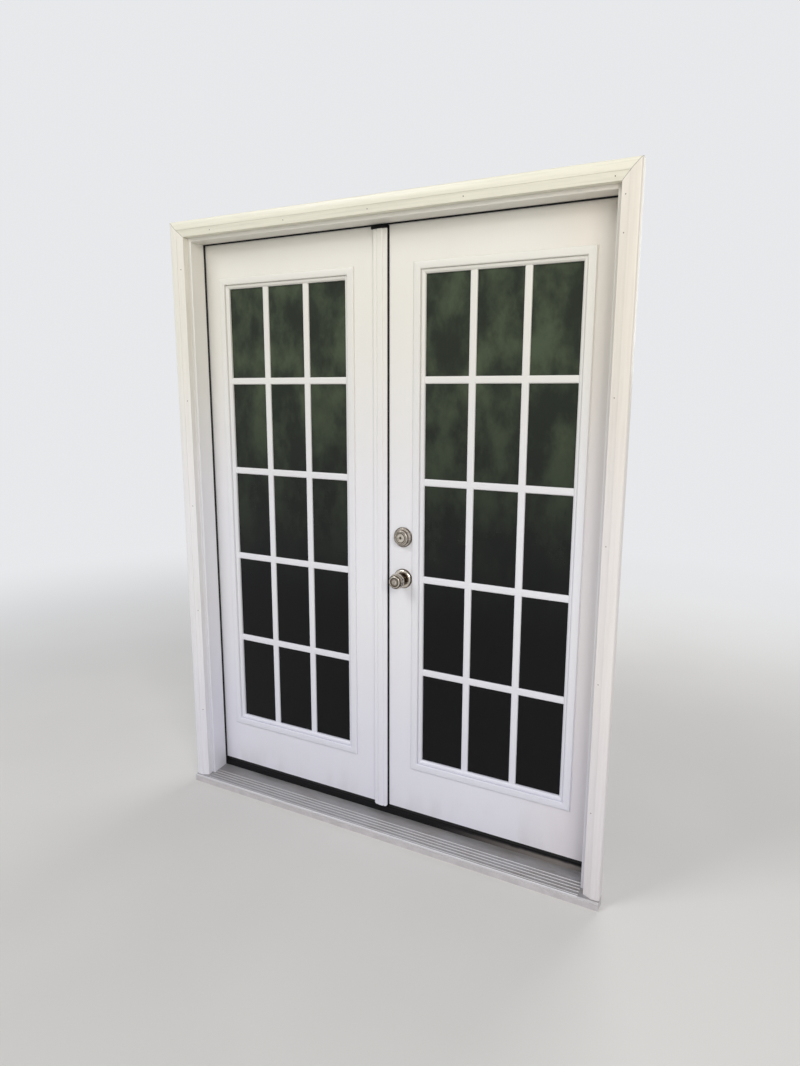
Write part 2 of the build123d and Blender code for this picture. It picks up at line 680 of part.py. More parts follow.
def glass_spacer():
    """The bar sealed between the sheets of glass, round their edge."""
    y = (GLASS_SETBACK + PANE_THICK, REAR - GLASS_SETBACK - PANE_THICK)
    wide = SIGHT_MARGIN - GLASS_MARGIN - 2.5
    x = grown(INSERT_X, -GLASS_MARGIN)
    z = grown(INSERT_Z, -GLASS_MARGIN)
    return block(x, y, z) - block(grown(x, -wide), y, grown(z, -wide))


def sweep():
    """The finned seal under a leaf."""
    x = (MEETING_EDGE, HINGE_EDGE)
    plate = SLAB_BOTTOM - SWEEP_PLATE
    tip = CAP_TOP + SWEEP_CLEAR
    seal = block(x, grown((0, REAR), -SWEEP_INSET), (plate, SLAB_BOTTOM))
    fins = int((REAR - 2 * SWEEP_INSET) // FIN_PITCH)
    for count in range(fins + 1):
        y = SWEEP_INSET + FIN_PITCH * count
        fin = outline((y, plate), (y - FIN_LEAN, tip), (y - FIN_LEAN + FIN_THICK, tip),
                      (y + FIN_THICK + FIN_ROOT, plate))
        seal += along(fin, x)
    return seal


# Astragal on the passive leaf


def astragal_section():
    """The moulding seen from above: a stem between the leaves and a flange on the outside."""
    left = -MEETING_EDGE - FLANGE_LAP
    right = STEM_FACE - FLANGE_RETREAT
    crown = -FLANGE_PROUD
    flat = crown + FLANGE_STEP
    middle = (left + right) / 2
    bead = FLANGE_BEAD / 2
    return outline((-MEETING_EDGE, REAR), (-MEETING_EDGE, 0), (left, 0), (left, flat + 3.0),
                   ((left + 0.9, flat + 0.9), (left + 3.0, flat)), (middle - bead - 2.4, flat),
                   ((middle - bead - 1.0, flat + 1.2), (middle - bead + 0.4, flat)),
                   ((middle - bead + 2.0, crown + 0.5), (middle - bead + 5.0, crown)),
                   (middle + bead - 5.0, crown),
                   ((middle + bead - 2.0, crown + 0.5), (middle + bead - 0.4, flat)),
                   ((middle + bead + 1.0, flat + 1.2), (middle + bead + 2.4, flat)),
                   (right - 3.0, flat), ((right - 0.9, flat + 0.9), (right, flat + 3.0)),
                   (right, -SEAL_FRONT), (STEM_FACE - SEAL_DEPTH, -SEAL_FRONT),
                   (STEM_FACE - SEAL_DEPTH, SEAL_BACK), (STEM_FACE, SEAL_BACK), (STEM_FACE, REAR))


def flange_ends():
    """What is cut from the flange at its ends: a drop from the head, and rounded corners below."""
    left = -MEETING_EDGE - FLANGE_LAP
    right = STEM_FACE - FLANGE_RETREAT
    foot = SLAB_BOTTOM - FLANGE_BOTTOM_DROP
    turn = FLANGE_ROUND
    bend = turn * (1 - math.sqrt(0.5))
    shape = outline((left, foot + turn), ((left + bend, foot + bend), (left + turn, foot)),
                    (right - turn, foot), ((right - bend, foot + bend), (right, foot + turn)),
                    (right, SLAB_TOP - FLANGE_TOP_DROP), (left, SLAB_TOP - FLANGE_TOP_DROP))
    return through(shape, (-2 * FLANGE_PROUD, 0))


def flush_bolt_space(way, end):
    """The bore and slot in the stem for a flush bolt that shoots up, or down."""
    deep = BOLT_LENGTH + BOLT_THROW
    middle = end - way * deep / 2
    bore = Pos(BOLT_X, MID_DEPTH, middle) * Cylinder(BOLT_ROD_R + BOLT_FIT, deep)
    nub = end - way * BOLT_NUB_FROM_END
    z = sorted((nub - way * (BOLT_NUB / 2 + 1.0), nub + way * (BOLT_NUB / 2 + BOLT_THROW + 1.0)))
    y = grown((MID_DEPTH, MID_DEPTH), BOLT_NUB_THICK / 2 + BOLT_FIT)
    return bore + block((BOLT_X, STEM_FACE), y, z)


def bolt_pocket(z, depth, height, throw):
    """The pocket in the stem that a lock's bolt shoots into."""
    reach = MEETING_EDGE + BOLT_REST - throw - POCKET_SPARE
    y = grown((MID_DEPTH, MID_DEPTH), depth / 2 + 2 * BOLT_SLIDE_FIT)
    return block((reach, STEM_FACE), y, grown((z, z), height / 2 + 2 * BOLT_SLIDE_FIT))


def pockets():
    """The deadbolt's pocket and the latch's pocket."""
    return [bolt_pocket(DEADBOLT_Z, DEADBOLT_DEPTH, DEADBOLT_HEIGHT, DEADBOLT_THROW),
            bolt_pocket(KNOB_Z, LATCH_DEPTH, LATCH_HEIGHT, LATCH_THROW)]


def astragal():
    """The stem that holds bolts and plates, and the flange planted on its front."""
    foot = SLAB_BOTTOM - FLANGE_BOTTOM_DROP
    bar = upright(astragal_section(), (foot, SLAB_TOP))
    behind = block(grown((-MEETING_EDGE, STEM_FACE), 40.0), (0, REAR), (SLAB_BOTTOM, SLAB_TOP))
    stem = (bar & behind) - pockets()
    stem -= [flush_bolt_space(1, SLAB_TOP), flush_bolt_space(-1, SLAB_BOTTOM)]
    stem -= [plate_bed(STEM_FACE, -1, z) for z in (KNOB_Z, DEADBOLT_Z)]
    return Compound([stem, bar & flange_ends()])


def strike_plate(z):
    """A plate on the stem round a pocket's mouth."""
    return plate_bed(STEM_FACE, -1, z) - pockets()


def astragal_seal():
    """The dark seal in the stem's recess, just clear of the active leaf."""
    inner = STEM_FACE - SEAL_DEPTH
    proud = STEM_FACE + SEAL_PROUD
    front = -SEAL_FRONT + SEAT_GAP
    back = SEAL_BACK - SEAT_GAP
    section = outline((inner, front), (proud - 2.0, front),
                      ((proud - 0.5, front + 0.8), (proud, front + 2.6)), (proud, back - 3.0),
                      ((proud - 0.7, back - 0.8), (proud - 2.4, back)), (inner, back))
    return upright(section, (SLAB_BOTTOM, HEAD_STOP - STRIP_BULB - 2 * STRIP_CLEAR))


def astragal_end_pads():
    """Foam on the flange's top end, and under the stem on both sides of the bolt."""
    foot = SLAB_TOP - FLANGE_TOP_DROP
    left = -MEETING_EDGE - FLANGE_LAP - TOP_PAD_OVERHANG
    top = block((left, STEM_FACE + SEAL_PROUD), (-FLANGE_PROUD, -SEAL_FRONT), (foot, foot + TOP_PAD))
    y = grown((0, REAR), -SWEEP_INSET)
    z = (CAP_TOP + SWEEP_CLEAR, SLAB_BOTTOM)
    return Compound([top, block((-MEETING_EDGE, BOLT_X - BOLT_HOLE_R), y, z),
                     block((BOLT_X + BOLT_HOLE_R, STEM_FACE), y, z)])


def flush_bolt(way, end):
    """A sliding rod with a finger nub, drawn in."""
    tip = end - way * BOLT_INSET
    middle = tip - way * BOLT_LENGTH / 2
    bolt = Pos(BOLT_X, MID_DEPTH, middle) * Cylinder(BOLT_ROD_R, BOLT_LENGTH)
    nub = end - way * BOLT_NUB_FROM_END
    y = grown((MID_DEPTH, MID_DEPTH), BOLT_NUB_THICK / 2)
    return bolt + block((BOLT_X, STEM_FACE + BOLT_NUB_PROUD), y, grown((nub, nub), BOLT_NUB / 2))


# Locks on the active leaf


def lock_case(z, depth, height):
    """A lock's plate in the leaf's edge with its round case behind, open for the bolt."""
    case = plate_bed(MEETING_EDGE, 1, z)
    middle = MEETING_EDGE + PLATE_THICK + (CASE_LENGTH - PLATE_THICK) / 2
    case += Pos(middle, MID_DEPTH, z) * Rot(0, 90, 0) * Cylinder(CASE_R, CASE_LENGTH - PLATE_THICK)
    y = grown((MID_DEPTH, MID_DEPTH), depth / 2 + BOLT_SLIDE_FIT)
    return case - block((MEETING_EDGE - 1, LOCK_X), y, grown((z, z), height / 2 + BOLT_SLIDE_FIT))


def sliding_bolt(z, depth, height):
    """A lock's bolt, drawn in behind the leaf's edge."""
    x = (MEETING_EDGE + BOLT_REST, LOCK_X - BOLT_TAIL_CLEAR)
    y = grown((MID_DEPTH, MID_DEPTH), depth / 2)
    return block(x, y, grown((z, z), height / 2))


def latch_bolt():
    """The latch has a sloping nose, so that it rides over the strike as the leaf shuts."""
    bolt = sliding_bolt(KNOB_Z, LATCH_DEPTH, LATCH_HEIGHT)
    nose = MEETING_EDGE + BOLT_REST
    back = MID_DEPTH + LATCH_DEPTH / 2
    ramp = outline((nose, MID_DEPTH - LATCH_DEPTH / 4), (nose + LATCH_THROW * 0.8, back), (nose, back))
    return bolt - upright(ramp, grown((KNOB_Z, KNOB_Z), LATCH_HEIGHT))


def rose():
    """The round plate behind a knob."""
    hole = KNOB_NECK_R + KNOB_RUN
    section = outline((hole, 0), (hole, -ROSE_THICK), (ROSE_R * 0.66, -ROSE_THICK),
                      ((ROSE_R * 0.9, -ROSE_THICK * 0.8), (ROSE_R - 0.6, -ROSE_THICK * 0.34)),
                      (ROSE_R, -ROSE_THICK * 0.2), (ROSE_R, 0))
    return turned(section, LOCK_X, KNOB_Z)


def knob_body():
    """A turned knob: a slim neck that flares to a flattened ball with a ringed face."""
    face = -KNOB_PROUD
    waist = -ROSE_THICK - 9.0
    root = -1.0
    section = outline((0, root), (KNOB_NECK_R, root), (KNOB_NECK_R, waist),
                      ((KNOB_NECK_R + 5.2, waist - 5.4), (KNOB_R - 2.4, face + 25.0)),
                      ((KNOB_R, face + 17.0), (KNOB_R - 3.0, face + 7.0)),
                      ((KNOB_R - 3.8, face + 4.6), (KNOB_R - 5.0, face + 2.7)),
                      (KNOB_R - 5.6, face + 2.7 + RING_GROOVE), (KNOB_R - 6.4, face + 1.7),
                      ((KNOB_R - 7.8, face + 0.5), (KNOB_FACE_R, face)),
                      (KNOB_FACE_R - 1.6, face), (KNOB_FACE_R - 2.4, face + KNOB_DISH),
                      (0, face + KNOB_DISH))
    return turned(section, LOCK_X, KNOB_Z)


def plug_bore():
    """The hole in a knob for its key plug, or its button, and for the bar behind it."""
    hole = rod(LOCK_X, (-KNOB_PROUD, PLUG_LENGTH - KNOB_PROUD), KNOB_Z, PLUG_R + PLUG_FIT)
    return hole + rod(LOCK_X, (-KNOB_PROUD, MID_DEPTH + 1.0), KNOB_Z, LOCK_BAR_BORE_R)


def knob_outer():
    """The outside knob with the square spindle that carries both knobs."""
    spindle = block(grown((LOCK_X, LOCK_X), SPINDLE / 2), (-1.0, REAR + ROSE_THICK),
                    grown((KNOB_Z, KNOB_Z), SPINDLE / 2))
    knob = knob_body() + spindle
    return knob - plug_bore() - rod(LOCK_X, (0, REAR + KNOB_PROUD), KNOB_Z, LOCK_BAR_BORE_R)


def knob_inner():
    half = SPINDLE / 2 + SPINDLE_FIT
    depth = (0, REAR + ROSE_THICK + 1.0)
    socket = block(grown((LOCK_X, LOCK_X), half), depth, grown((KNOB_Z, KNOB_Z), half))
    return other_face(knob_body() - plug_bore()) - socket


def keyway(z, face):
    """The slot for a key in a plug's face."""
    x = grown((LOCK_X, LOCK_X), KEYWAY_WIDTH / 2)
    return block(x, (face - 1.0, face + KEYWAY_DEPTH), grown((z, z), KEYWAY_HEIGHT / 2))


def knob_plug():
    """The key plug of the knob, with the bar that joins it to the button inside."""
    face = -KNOB_PROUD - PLUG_PROUD + KNOB_DISH
    plug = rod(LOCK_X, (face, PLUG_LENGTH - KNOB_PROUD - SEAT_GAP), KNOB_Z, PLUG_R)
    plug += rod(LOCK_X, (face + 2.0, REAR + KNOB_PROUD - PLUG_LENGTH), KNOB_Z, LOCK_BAR_R)
    return plug - keyway(KNOB_Z, face)


def turn_button():
    """The button in the inside knob, with a blade to turn."""
    face = REAR + KNOB_PROUD
    foot = face - PLUG_LENGTH + SEAT_GAP
    button = rod(LOCK_X, (foot, face - KNOB_DISH), KNOB_Z, PLUG_R)
    x = grown((LOCK_X, LOCK_X), BUTTON_BLADE / 2)
    return button + block(x, (face - 2.0, face + 5.0), grown((KNOB_Z, KNOB_Z), PLUG_R - 1.4))


def deadbolt_collar():
    """The housing of the deadbolt's key plug, stepped down its side, with a ringed face."""
    face = -COLLAR_PROUD
    hole = PLUG_R + PLUG_FIT
    sunk = face + COLLAR_RING
    groove = face + RING_GROOVE
    section = outline((hole, 0), (hole, sunk), (hole + 4.4, sunk), (hole + 5.6, face),
                      (hole + 8.0, face), (hole + 8.7, groove), (hole + 10.1, groove),
                      (hole + 10.8, face), (COLLAR_FACE_R - 1.4, face),
                      ((COLLAR_FACE_R - 0.4, face + 0.5), (COLLAR_FACE_R, face + 1.6)),
                      (COLLAR_FACE_R + 2.4, -13.4), (COLLAR_FACE_R + 3.6, -13.0),
                      (COLLAR_R - 2.9, -6.0), (COLLAR_R - 1.4, -5.4), (COLLAR_R, -4.0), (COLLAR_R, 0))
    return turned(section, LOCK_X, DEADBOLT_Z)


def deadbolt_plug():
    """The deadbolt's key plug and the flat tail that joins it to the thumb turn."""
    face = -COLLAR_PROUD + COLLAR_RING - PLUG_PROUD
    plug = rod(LOCK_X, (face, -SEAT_GAP), DEADBOLT_Z, PLUG_R)
    tail = block(grown((LOCK_X, LOCK_X), TAIL_THICK / 2), (-1.0, REAR + INNER_PLATE_THICK),
                 grown((DEADBOLT_Z, DEADBOLT_Z), TAIL_WIDTH / 2))
    return plug + tail - keyway(DEADBOLT_Z, face)


def deadbolt_inner_plate():
    """The round plate under the thumb turn."""
    hole = TURN_HUB_R + KNOB_RUN
    back = REAR + INNER_PLATE_THICK
    section = outline((hole, REAR), (hole, back), (ROSE_R * 0.8, back),
                      ((ROSE_R * 0.95, back - 1.4), (ROSE_R, REAR + 2.6)), (ROSE_R, REAR))
    return turned(section, LOCK_X, DEADBOLT_Z)


def thumb_turn():
    """The inside handle of the deadbolt, upright while the bolt is drawn."""
    hub = rod(LOCK_X, (REAR + SEAT_GAP, REAR + INNER_PLATE_THICK + 6.0), DEADBOLT_Z, TURN_HUB_R)
    half = TURN_LENGTH / 2
    end = TURN_THICK / 2
    bend = end * math.sqrt(0.5)
    blade = outline((LOCK_X - end, DEADBOLT_Z - half + end),
                    ((LOCK_X, DEADBOLT_Z - half), (LOCK_X + end, DEADBOLT_Z - half + end)),
                    (LOCK_X + bend, DEADBOLT_Z), (LOCK_X + end, DEADBOLT_Z + half - end),
                    ((LOCK_X, DEADBOLT_Z + half), (LOCK_X - end, DEADBOLT_Z + half - end)),
                    (LOCK_X - bend, DEADBOLT_Z))
    turn = hub + through(blade, (REAR + INNER_PLATE_THICK + 1.0, REAR + TURN_PROUD))
    slot = block(grown((LOCK_X, LOCK_X), TAIL_THICK / 2 + SPINDLE_FIT),
                 (REAR, REAR + INNER_PLATE_THICK + 1.0),
                 grown((DEADBOLT_Z, DEADBOLT_Z), TAIL_WIDTH / 2 + SPINDLE_FIT))
    return turn - slot


def save_frame():
    """Everything that stays still in the wall."""
    for name, piece in (("jamb", side_jamb()), ("casing", casing_side())):
        save(name + "_right", piece)
        save(name + "_left", mirrored(piece))
    save("jamb_head", head_jamb())
    save("casing_head", casing_head())
    stop, strip = side_stop(), side_strip()
    save("door_stops", Compound([stop, mirrored(stop), head_run(stop_section())]))
    save("weatherstrips", Compound([strip, mirrored(strip), head_run(strip_section())]))
    save("sill_substrate", sill_substrate())
    save("sill_deck", sill_deck())
    save("sill_riser", sill_riser())
    save("threshold_cap", threshold_cap())
    save("corner_pads", Compound([corner_pad(), mirrored(corner_pad())]))
    save("bolt_keepers", Compound([keeper(HEAD_RABBET, 1), keeper(CAP_TOP, -1)]))
    plates = [hinge_plate(z, RABBET, 1, 0) for z in HINGE_CENTRES]
    pins = [hinge_pin(z) for z in HINGE_CENTRES]
    save("hinge_frame_leaves", Compound(plates + [mirrored(plate) for plate in plates]))
    save("hinge_pins", Compound(pins + [mirrored(pin) for pin in pins]))


def save_leaf(side, locked):
    """One leaf, made on the right, and turned over for the left."""
    sheet = pane()
    plates = [hinge_plate(z, HINGE_EDGE, -1, 1) for z in HINGE_CENTRES]
    pieces = {"edge_frame": edge_frame(locked), "foam_core": foam_core(locked),
              "skin_outer": skin_outer(locked), "skin_inner": skin_inner(locked),
              "lite_frame_outer": insert_frame(), "grille_outer": bar_grid(),
              "glass_panes": Compound([sheet, other_face(sheet)]), "glass_spacer": glass_spacer(),
              "hinge_leaves": Compound(plates), "sweep": sweep()}
    pieces["lite_frame_inner"] = other_face(pieces["lite_frame_outer"])
    pieces["grille_inner"] = other_face(pieces["grille_outer"])
    for name, piece in pieces.items():
        save(side + "_" + name, piece if side == "right" else mirrored(piece))


def save_astragal():
    """What only the passive leaf carries."""
    save("astragal", astragal())
    save("astragal_seal", astragal_seal())
    save("astragal_end_pads", astragal_end_pads())
    save("strike_plates", Compound([strike_plate(KNOB_Z), strike_plate(DEADBOLT_Z)]))
    save("flush_bolt_top", flush_bolt(1, SLAB_TOP))
    save("flush_bolt_bottom", flush_bolt(-1, SLAB_BOTTOM))


def save_locks():
    """What only the active leaf carries."""
    save("knob_roses", Compound([rose(), other_face(rose())]))
    save("knob_outer", knob_outer())
    save("knob_inner", knob_inner())
    save("knob_plug", knob_plug())
    save("turn_button", turn_button())
    save("latch_bolt", latch_bolt())
    save("latch_case", lock_case(KNOB_Z, LATCH_DEPTH, LATCH_HEIGHT))
    save("deadbolt_collar", deadbolt_collar())
    save("deadbolt_plug", deadbolt_plug())
    save("deadbolt_inner_plate", deadbolt_inner_plate())
    save("thumb_turn", thumb_turn())
    save("deadbolt_bolt", sliding_bolt(DEADBOLT_Z, DEADBOLT_DEPTH, DEADBOLT_HEIGHT))
    save("deadbolt_case", lock_case(DEADBOLT_Z, DEADBOLT_DEPTH, DEADBOLT_HEIGHT))


save_frame()
save_leaf("left", False)
save_leaf("right", True)
save_astragal()
save_locks()
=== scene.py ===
"""Dresses a double entry door unit with paint, glass, metal and seals, and adds its small parts.

Sizes are in metres, in the frame of the model. The side with the brick moulding faces -Y, and the
active leaf is the right one, at +X.
"""

import math

import bmesh
import bpy
from bpy.props import FloatProperty, FloatVectorProperty, IntProperty, PointerProperty
from mathutils import Matrix, Vector
from mathutils.bvhtree import BVHTree


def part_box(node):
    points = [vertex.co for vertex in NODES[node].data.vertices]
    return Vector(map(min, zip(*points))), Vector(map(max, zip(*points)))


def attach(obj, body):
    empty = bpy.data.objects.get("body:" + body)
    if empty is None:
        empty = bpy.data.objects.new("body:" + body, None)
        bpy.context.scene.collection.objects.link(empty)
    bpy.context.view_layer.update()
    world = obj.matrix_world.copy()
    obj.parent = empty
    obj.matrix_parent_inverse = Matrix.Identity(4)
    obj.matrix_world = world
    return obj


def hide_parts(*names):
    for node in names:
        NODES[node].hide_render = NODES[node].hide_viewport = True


bl_info = {
    "name": "Double Door Dresser",
    "version": (1, 0, 0),
    "blender": (4, 5, 0),
    "location": "3D View > Sidebar > Doors",
    "description": "Finishes and small parts for a double entry door unit",
    "category": "Object",
}

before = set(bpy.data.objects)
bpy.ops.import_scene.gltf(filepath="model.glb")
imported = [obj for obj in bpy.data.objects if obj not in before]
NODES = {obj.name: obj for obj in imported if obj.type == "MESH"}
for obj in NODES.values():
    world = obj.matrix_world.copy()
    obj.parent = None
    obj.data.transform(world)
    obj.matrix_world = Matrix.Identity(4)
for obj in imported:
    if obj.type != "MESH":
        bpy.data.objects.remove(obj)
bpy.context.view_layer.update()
LEAVES = {"left": "left_leaf", "right": "right_leaf"}
WAYS = {"left": -1.0, "right": 1.0}
OUTWARD = Vector((0, -1, 0))
INWARD = Vector((0, 1, 0))
UPWARD = Vector((0, 0, 1))


# Places taken from the frame


def low(node):
    """Lowest corner of a piece of the model."""
    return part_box(node)[0]


def high(node):
    """Highest corner of a piece of the model."""
    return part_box(node)[1]


def middle(node):
    """Centre of the box of a piece of the model."""
    return (low(node) + high(node)) / 2


# The deck's slope: the depth and height of its back edge, and its rise along Y
DECK_FOOT = (-0.007, 0.0375)
DECK_SLOPE = 0.1226

# The brick moulding. From its eased inner edge come a flat field, a step, and a swelled band that
# rounds over at the outer edge. Its back is hollow. Its inner edges meet at the corner.
CASING_WIDE = 0.0508
CASING_BACK = high("casing_right").y
CASING_THICK = CASING_BACK - low("casing_right").y
CASING_EDGE = 0.022
CASING_ARRIS = 0.0015
CASING_FIELD = 0.022
CASING_STEP_RUN = 0.0004
CASING_STEP_RISE = 0.0012
CASING_BAND = CASING_THICK - 0.0009
CASING_SWELL = 0.0008
CASING_ROUND = 0.006
CASING_FACETS = 8
HOLLOW_START = 0.015
HOLLOW_END = CASING_WIDE - 0.0225
HOLLOW_DEEP = 0.002
CASING_CORNER = Vector((high("casing_right").x - CASING_WIDE, 0, high("casing_head").z - CASING_WIDE))

# Nails of the moulding: their heights on its legs, and how far along its head they are
NAIL_RADIUS = 0.0019
NAIL_INSET = 0.0115
NAILS = {
    "right": (2.003, 1.911, 1.50, 1.10, 0.70, 0.30),
    "left": (1.93, 1.481, 1.10, 0.70, 0.30),
    "head": (-0.616, -0.31, 0.0, 0.31, 0.725),
}

# Hinges: their plates' faces are this far from the middle of the unit
FACE_BACK = high("right_skin_inner").y
HINGE_SPAN = (low("right_hinge_leaves").z, high("right_hinge_leaves").z)
HINGE_TALL = 0.1016
HINGE_FACES = {"leaf": 0.7385, "jamb": 0.7417}
HINGE_ROWS_SHARE = 0.86
HINGE_STAGGER = 0.0075

# Other screws and caps: how far they stand out, and where they are
SCREW_PROUD = 0.0003
LOCK_SCREW_PROUD = 0.0004
THRESHOLD_SCREW_PROUD = 0.0002
PLATE_INSET = 0.0065
KEEPER_INSET = 0.008
KEEPER_THICK = 0.0016
LOCK_SCREW_REACH = 0.0235
COVER_RADIUS = 0.0052
COVER_INSET = 0.0105
COVER_MARGIN = 0.03
COVER_ROWS = 6
COVER_REACH = 0.12
THRESHOLD_SCREWS = (-0.64, -0.22, 0.22, 0.64)
THRESHOLD_SCREW_RADIUS = 0.0055

# Where lines of sight start: in front of the unit, behind it, and above its sill
IN_FRONT = -0.3
BEHIND = 0.2
ABOVE_SILL = 0.2

# Painted dark reflections and shade on the locks, in rings round their axes: radius, half width and depth
# of tone
KNOB_REFLECTION_RINGS = ((0.0132, 0.0030, 0.97), (0.0208, 0.0020, 0.93), (0.0050, 0.0080, 0.66))
ROSE_REFLECTION_RINGS = ((0.0320, 0.0020, 0.95), (0.0155, 0.0075, 0.9))
COLLAR_REFLECTION_RINGS = ((0.0, 0.0060, 0.9), (0.0160, 0.0020, 0.9), (0.0212, 0.0016, 0.9),
                (0.0262, 0.0017, 0.9), (0.0322, 0.0022, 0.95))

# Heights between which the paint turns from its lower tone, painted cool shade, to its middle tone and to
# its upper one, painted warm light; the glass turns from its lower tone, painted shade, to its upper
# tone, a painted greenish reflection; and the grime near the sill fades out
LOWER_TURN = (0.2, 0.8)
UPPER_TURN = (0.95, 1.85)
PANE_REFLECTION_TURN = (0.75, 1.75)
SILL_GRIME = (0.03, 0.22)

# Where, along the width, the paint's painted warm shade, the deck's dirt and its painted highlights on
# the ridges, and the riser's dust grow
WARM_SHADE_RUN = (0.40, 0.74)
DIRT_RUN = (0.30, 0.74)
CREST_HIGHLIGHT_RUN = (-0.4, 0.5)
DUST_RUN = (0.18, 0.68)

# The colour of the painted warm shade, and the squeezes that make brush marks run along X or along Z
PAINTED_WARM_SHADE = (0.66, 0.53, 0.42)
ALONG_X = (0.03, 1.0, 1.0)
ALONG_Z = (1.0, 1.0, 0.03)

# Lamps: name, place, the point they face, size, power and colour
LAMPS = (
    ("key", (3.0, -3.5, 2.9), (0.0, 0.0, 1.0), 2.0, 97.0, (1.0, 0.97, 0.93)),
    ("fill", (-2.4, -3.4, 4.5), (0.0, 0.0, 0.9), 2.0, 92.0, (0.97, 0.98, 1.0)),
    ("rear", (0.6, 4.4, 3.0), (0.0, 0.0, 1.1), 3.0, 90.0, (1.0, 1.0, 1.0)),
)

# The even light from all round, the floor, and the distances over which the floor fades out
SKY_TONE = (0.96, 0.97, 1.0)
SKY_STRENGTH = 0.42
FLOOR_RADIUS = 40.0
FLOOR_FADE = (1.5, 5.2)


# Settings that a user would change


class PaintSettings(bpy.types.PropertyGroup):
    """The white paint of the frame and the leaves."""

    # The three tones are painted light and shade: warm light high up, the brightest light at mid height,
    # cool shade low down
    upper: FloatVectorProperty(
        name="Upper tone",
        description="Colour of the paint near the head, where the light is warm",
        subtype="COLOR",
        size=3,
        min=0.0,
        max=1.0,
        default=(0.80, 0.778, 0.705),
    )
    middle: FloatVectorProperty(
        name="Middle tone",
        description="Colour of the paint at the height of the locks",
        subtype="COLOR",
        size=3,
        min=0.0,
        max=1.0,
        default=(0.83, 0.826, 0.858),
    )
    # The lower tone is painted cool shade near the sill
    lower: FloatVectorProperty(
        name="Lower tone",
        description="Colour of the paint near the sill",
        subtype="COLOR",
        size=3,
        min=0.0,
        max=1.0,
        default=(0.765, 0.766, 0.85),
    )
    grime: FloatVectorProperty(
        name="Grime",
        description="Colour of the dirt that settles on ledges and near the sill",
        subtype="COLOR",
        size=3,
        min=0.0,
        max=1.0,
        default=(0.30, 0.25, 0.20),
    )
    gloss: FloatProperty(
        name="Roughness",
        description="Roughness of the satin paint",
        subtype="FACTOR",
        default=0.36,
        min=0.05,
        max=1.0,
    )


class GlassSettings(bpy.types.PropertyGroup):
    """The panes."""

    # The upper tone is a painted greenish reflection
    upper: FloatVectorProperty(
        name="Upper tone",
        description="Tone of the glass in the upper rows",
        subtype="COLOR",
        size=3,
        min=0.0,
        max=1.0,
        default=(0.072, 0.096, 0.054),
    )
    # The lower tone is painted shade: the dark seen through the glass
    lower: FloatVectorProperty(
        name="Lower tone",
        description="Tone of the glass in the lower rows",
        subtype="COLOR",
        size=3,
        min=0.0,
        max=1.0,
        default=(0.003, 0.003, 0.004),
    )
    clearness: FloatProperty(
        name="Clearness",
        description="Share of the light that goes through the glass",
        subtype="FACTOR",
        default=0.12,
        min=0.0,
        max=1.0,
    )


class MetalSettings(bpy.types.PropertyGroup):
    """Locks, hinges and the deck of the sill."""

    nickel: FloatVectorProperty(
        name="Nickel",
        description="Colour of the satin nickel",
        subtype="COLOR",
        size=3,
        min=0.0,
        max=1.0,
        default=(0.70, 0.65, 0.57),
    )
    aluminium: FloatVectorProperty(
        name="Aluminium",
        description="Colour of the deck of the sill",
        subtype="COLOR",
        size=3,
        min=0.0,
        max=1.0,
        default=(0.455, 0.45, 0.46),
    )
    screw_radius: FloatProperty(
        name="Screw head",
        description="Radius of a hinge screw's head",
        default=0.0046,
        min=0.001,
        max=0.01,
        unit="LENGTH",
    )
    hinge_screws: IntProperty(
        name="Screws per plate",
        description="Screws in each hinge plate",
        default=4,
        min=2,
        max=6,
    )


class StageSettings(bpy.types.PropertyGroup):
    """Floor, light and camera."""

    eye: FloatVectorProperty(
        name="Eye",
        description="Place of the camera",
        subtype="TRANSLATION",
        size=3,
        default=(1.1903, -2.0990, 1.5114),
    )
    yaw: FloatProperty(
        name="Yaw",
        description="Turn of the camera to the left of straight ahead",
        default=math.radians(28.29),
        subtype="ANGLE",
    )
    pitch: FloatProperty(
        name="Pitch",
        description="How far the camera looks down",
        default=math.radians(10.77),
        subtype="ANGLE",
    )
    roll: FloatProperty(
        name="Roll",
        description="Turn of the camera about its own line of sight",
        default=math.radians(-0.165),
        subtype="ANGLE",
    )
    lens: FloatProperty(
        name="Lens",
        description="Focal length on a long side of 36 mm, in millimetres",
        unit="CAMERA",
        default=24.86,
        min=5.0,
        max=200.0,
    )
    floor: FloatVectorProperty(
        name="Floor",
        description="Colour of the floor",
        subtype="COLOR",
        size=3,
        min=0.0,
        max=1.0,
        default=(0.72, 0.71, 0.69),
    )
    backdrop: FloatVectorProperty(
        name="Backdrop",
        description="Colour of the background",
        subtype="COLOR",
        size=3,
        min=0.0,
        max=1.0,
        default=(0.80, 0.81, 0.83),
    )


class DoorSettings(bpy.types.PropertyGroup):
    """Everything that a user would change."""

    paint: PointerProperty(type=PaintSettings)
    glass: PointerProperty(type=GlassSettings)
    metal: PointerProperty(type=MetalSettings)
    stage: PointerProperty(type=StageSettings)


def settings():
    """The settings of the scene."""
    return bpy.context.scene.double_doors


# Finishes


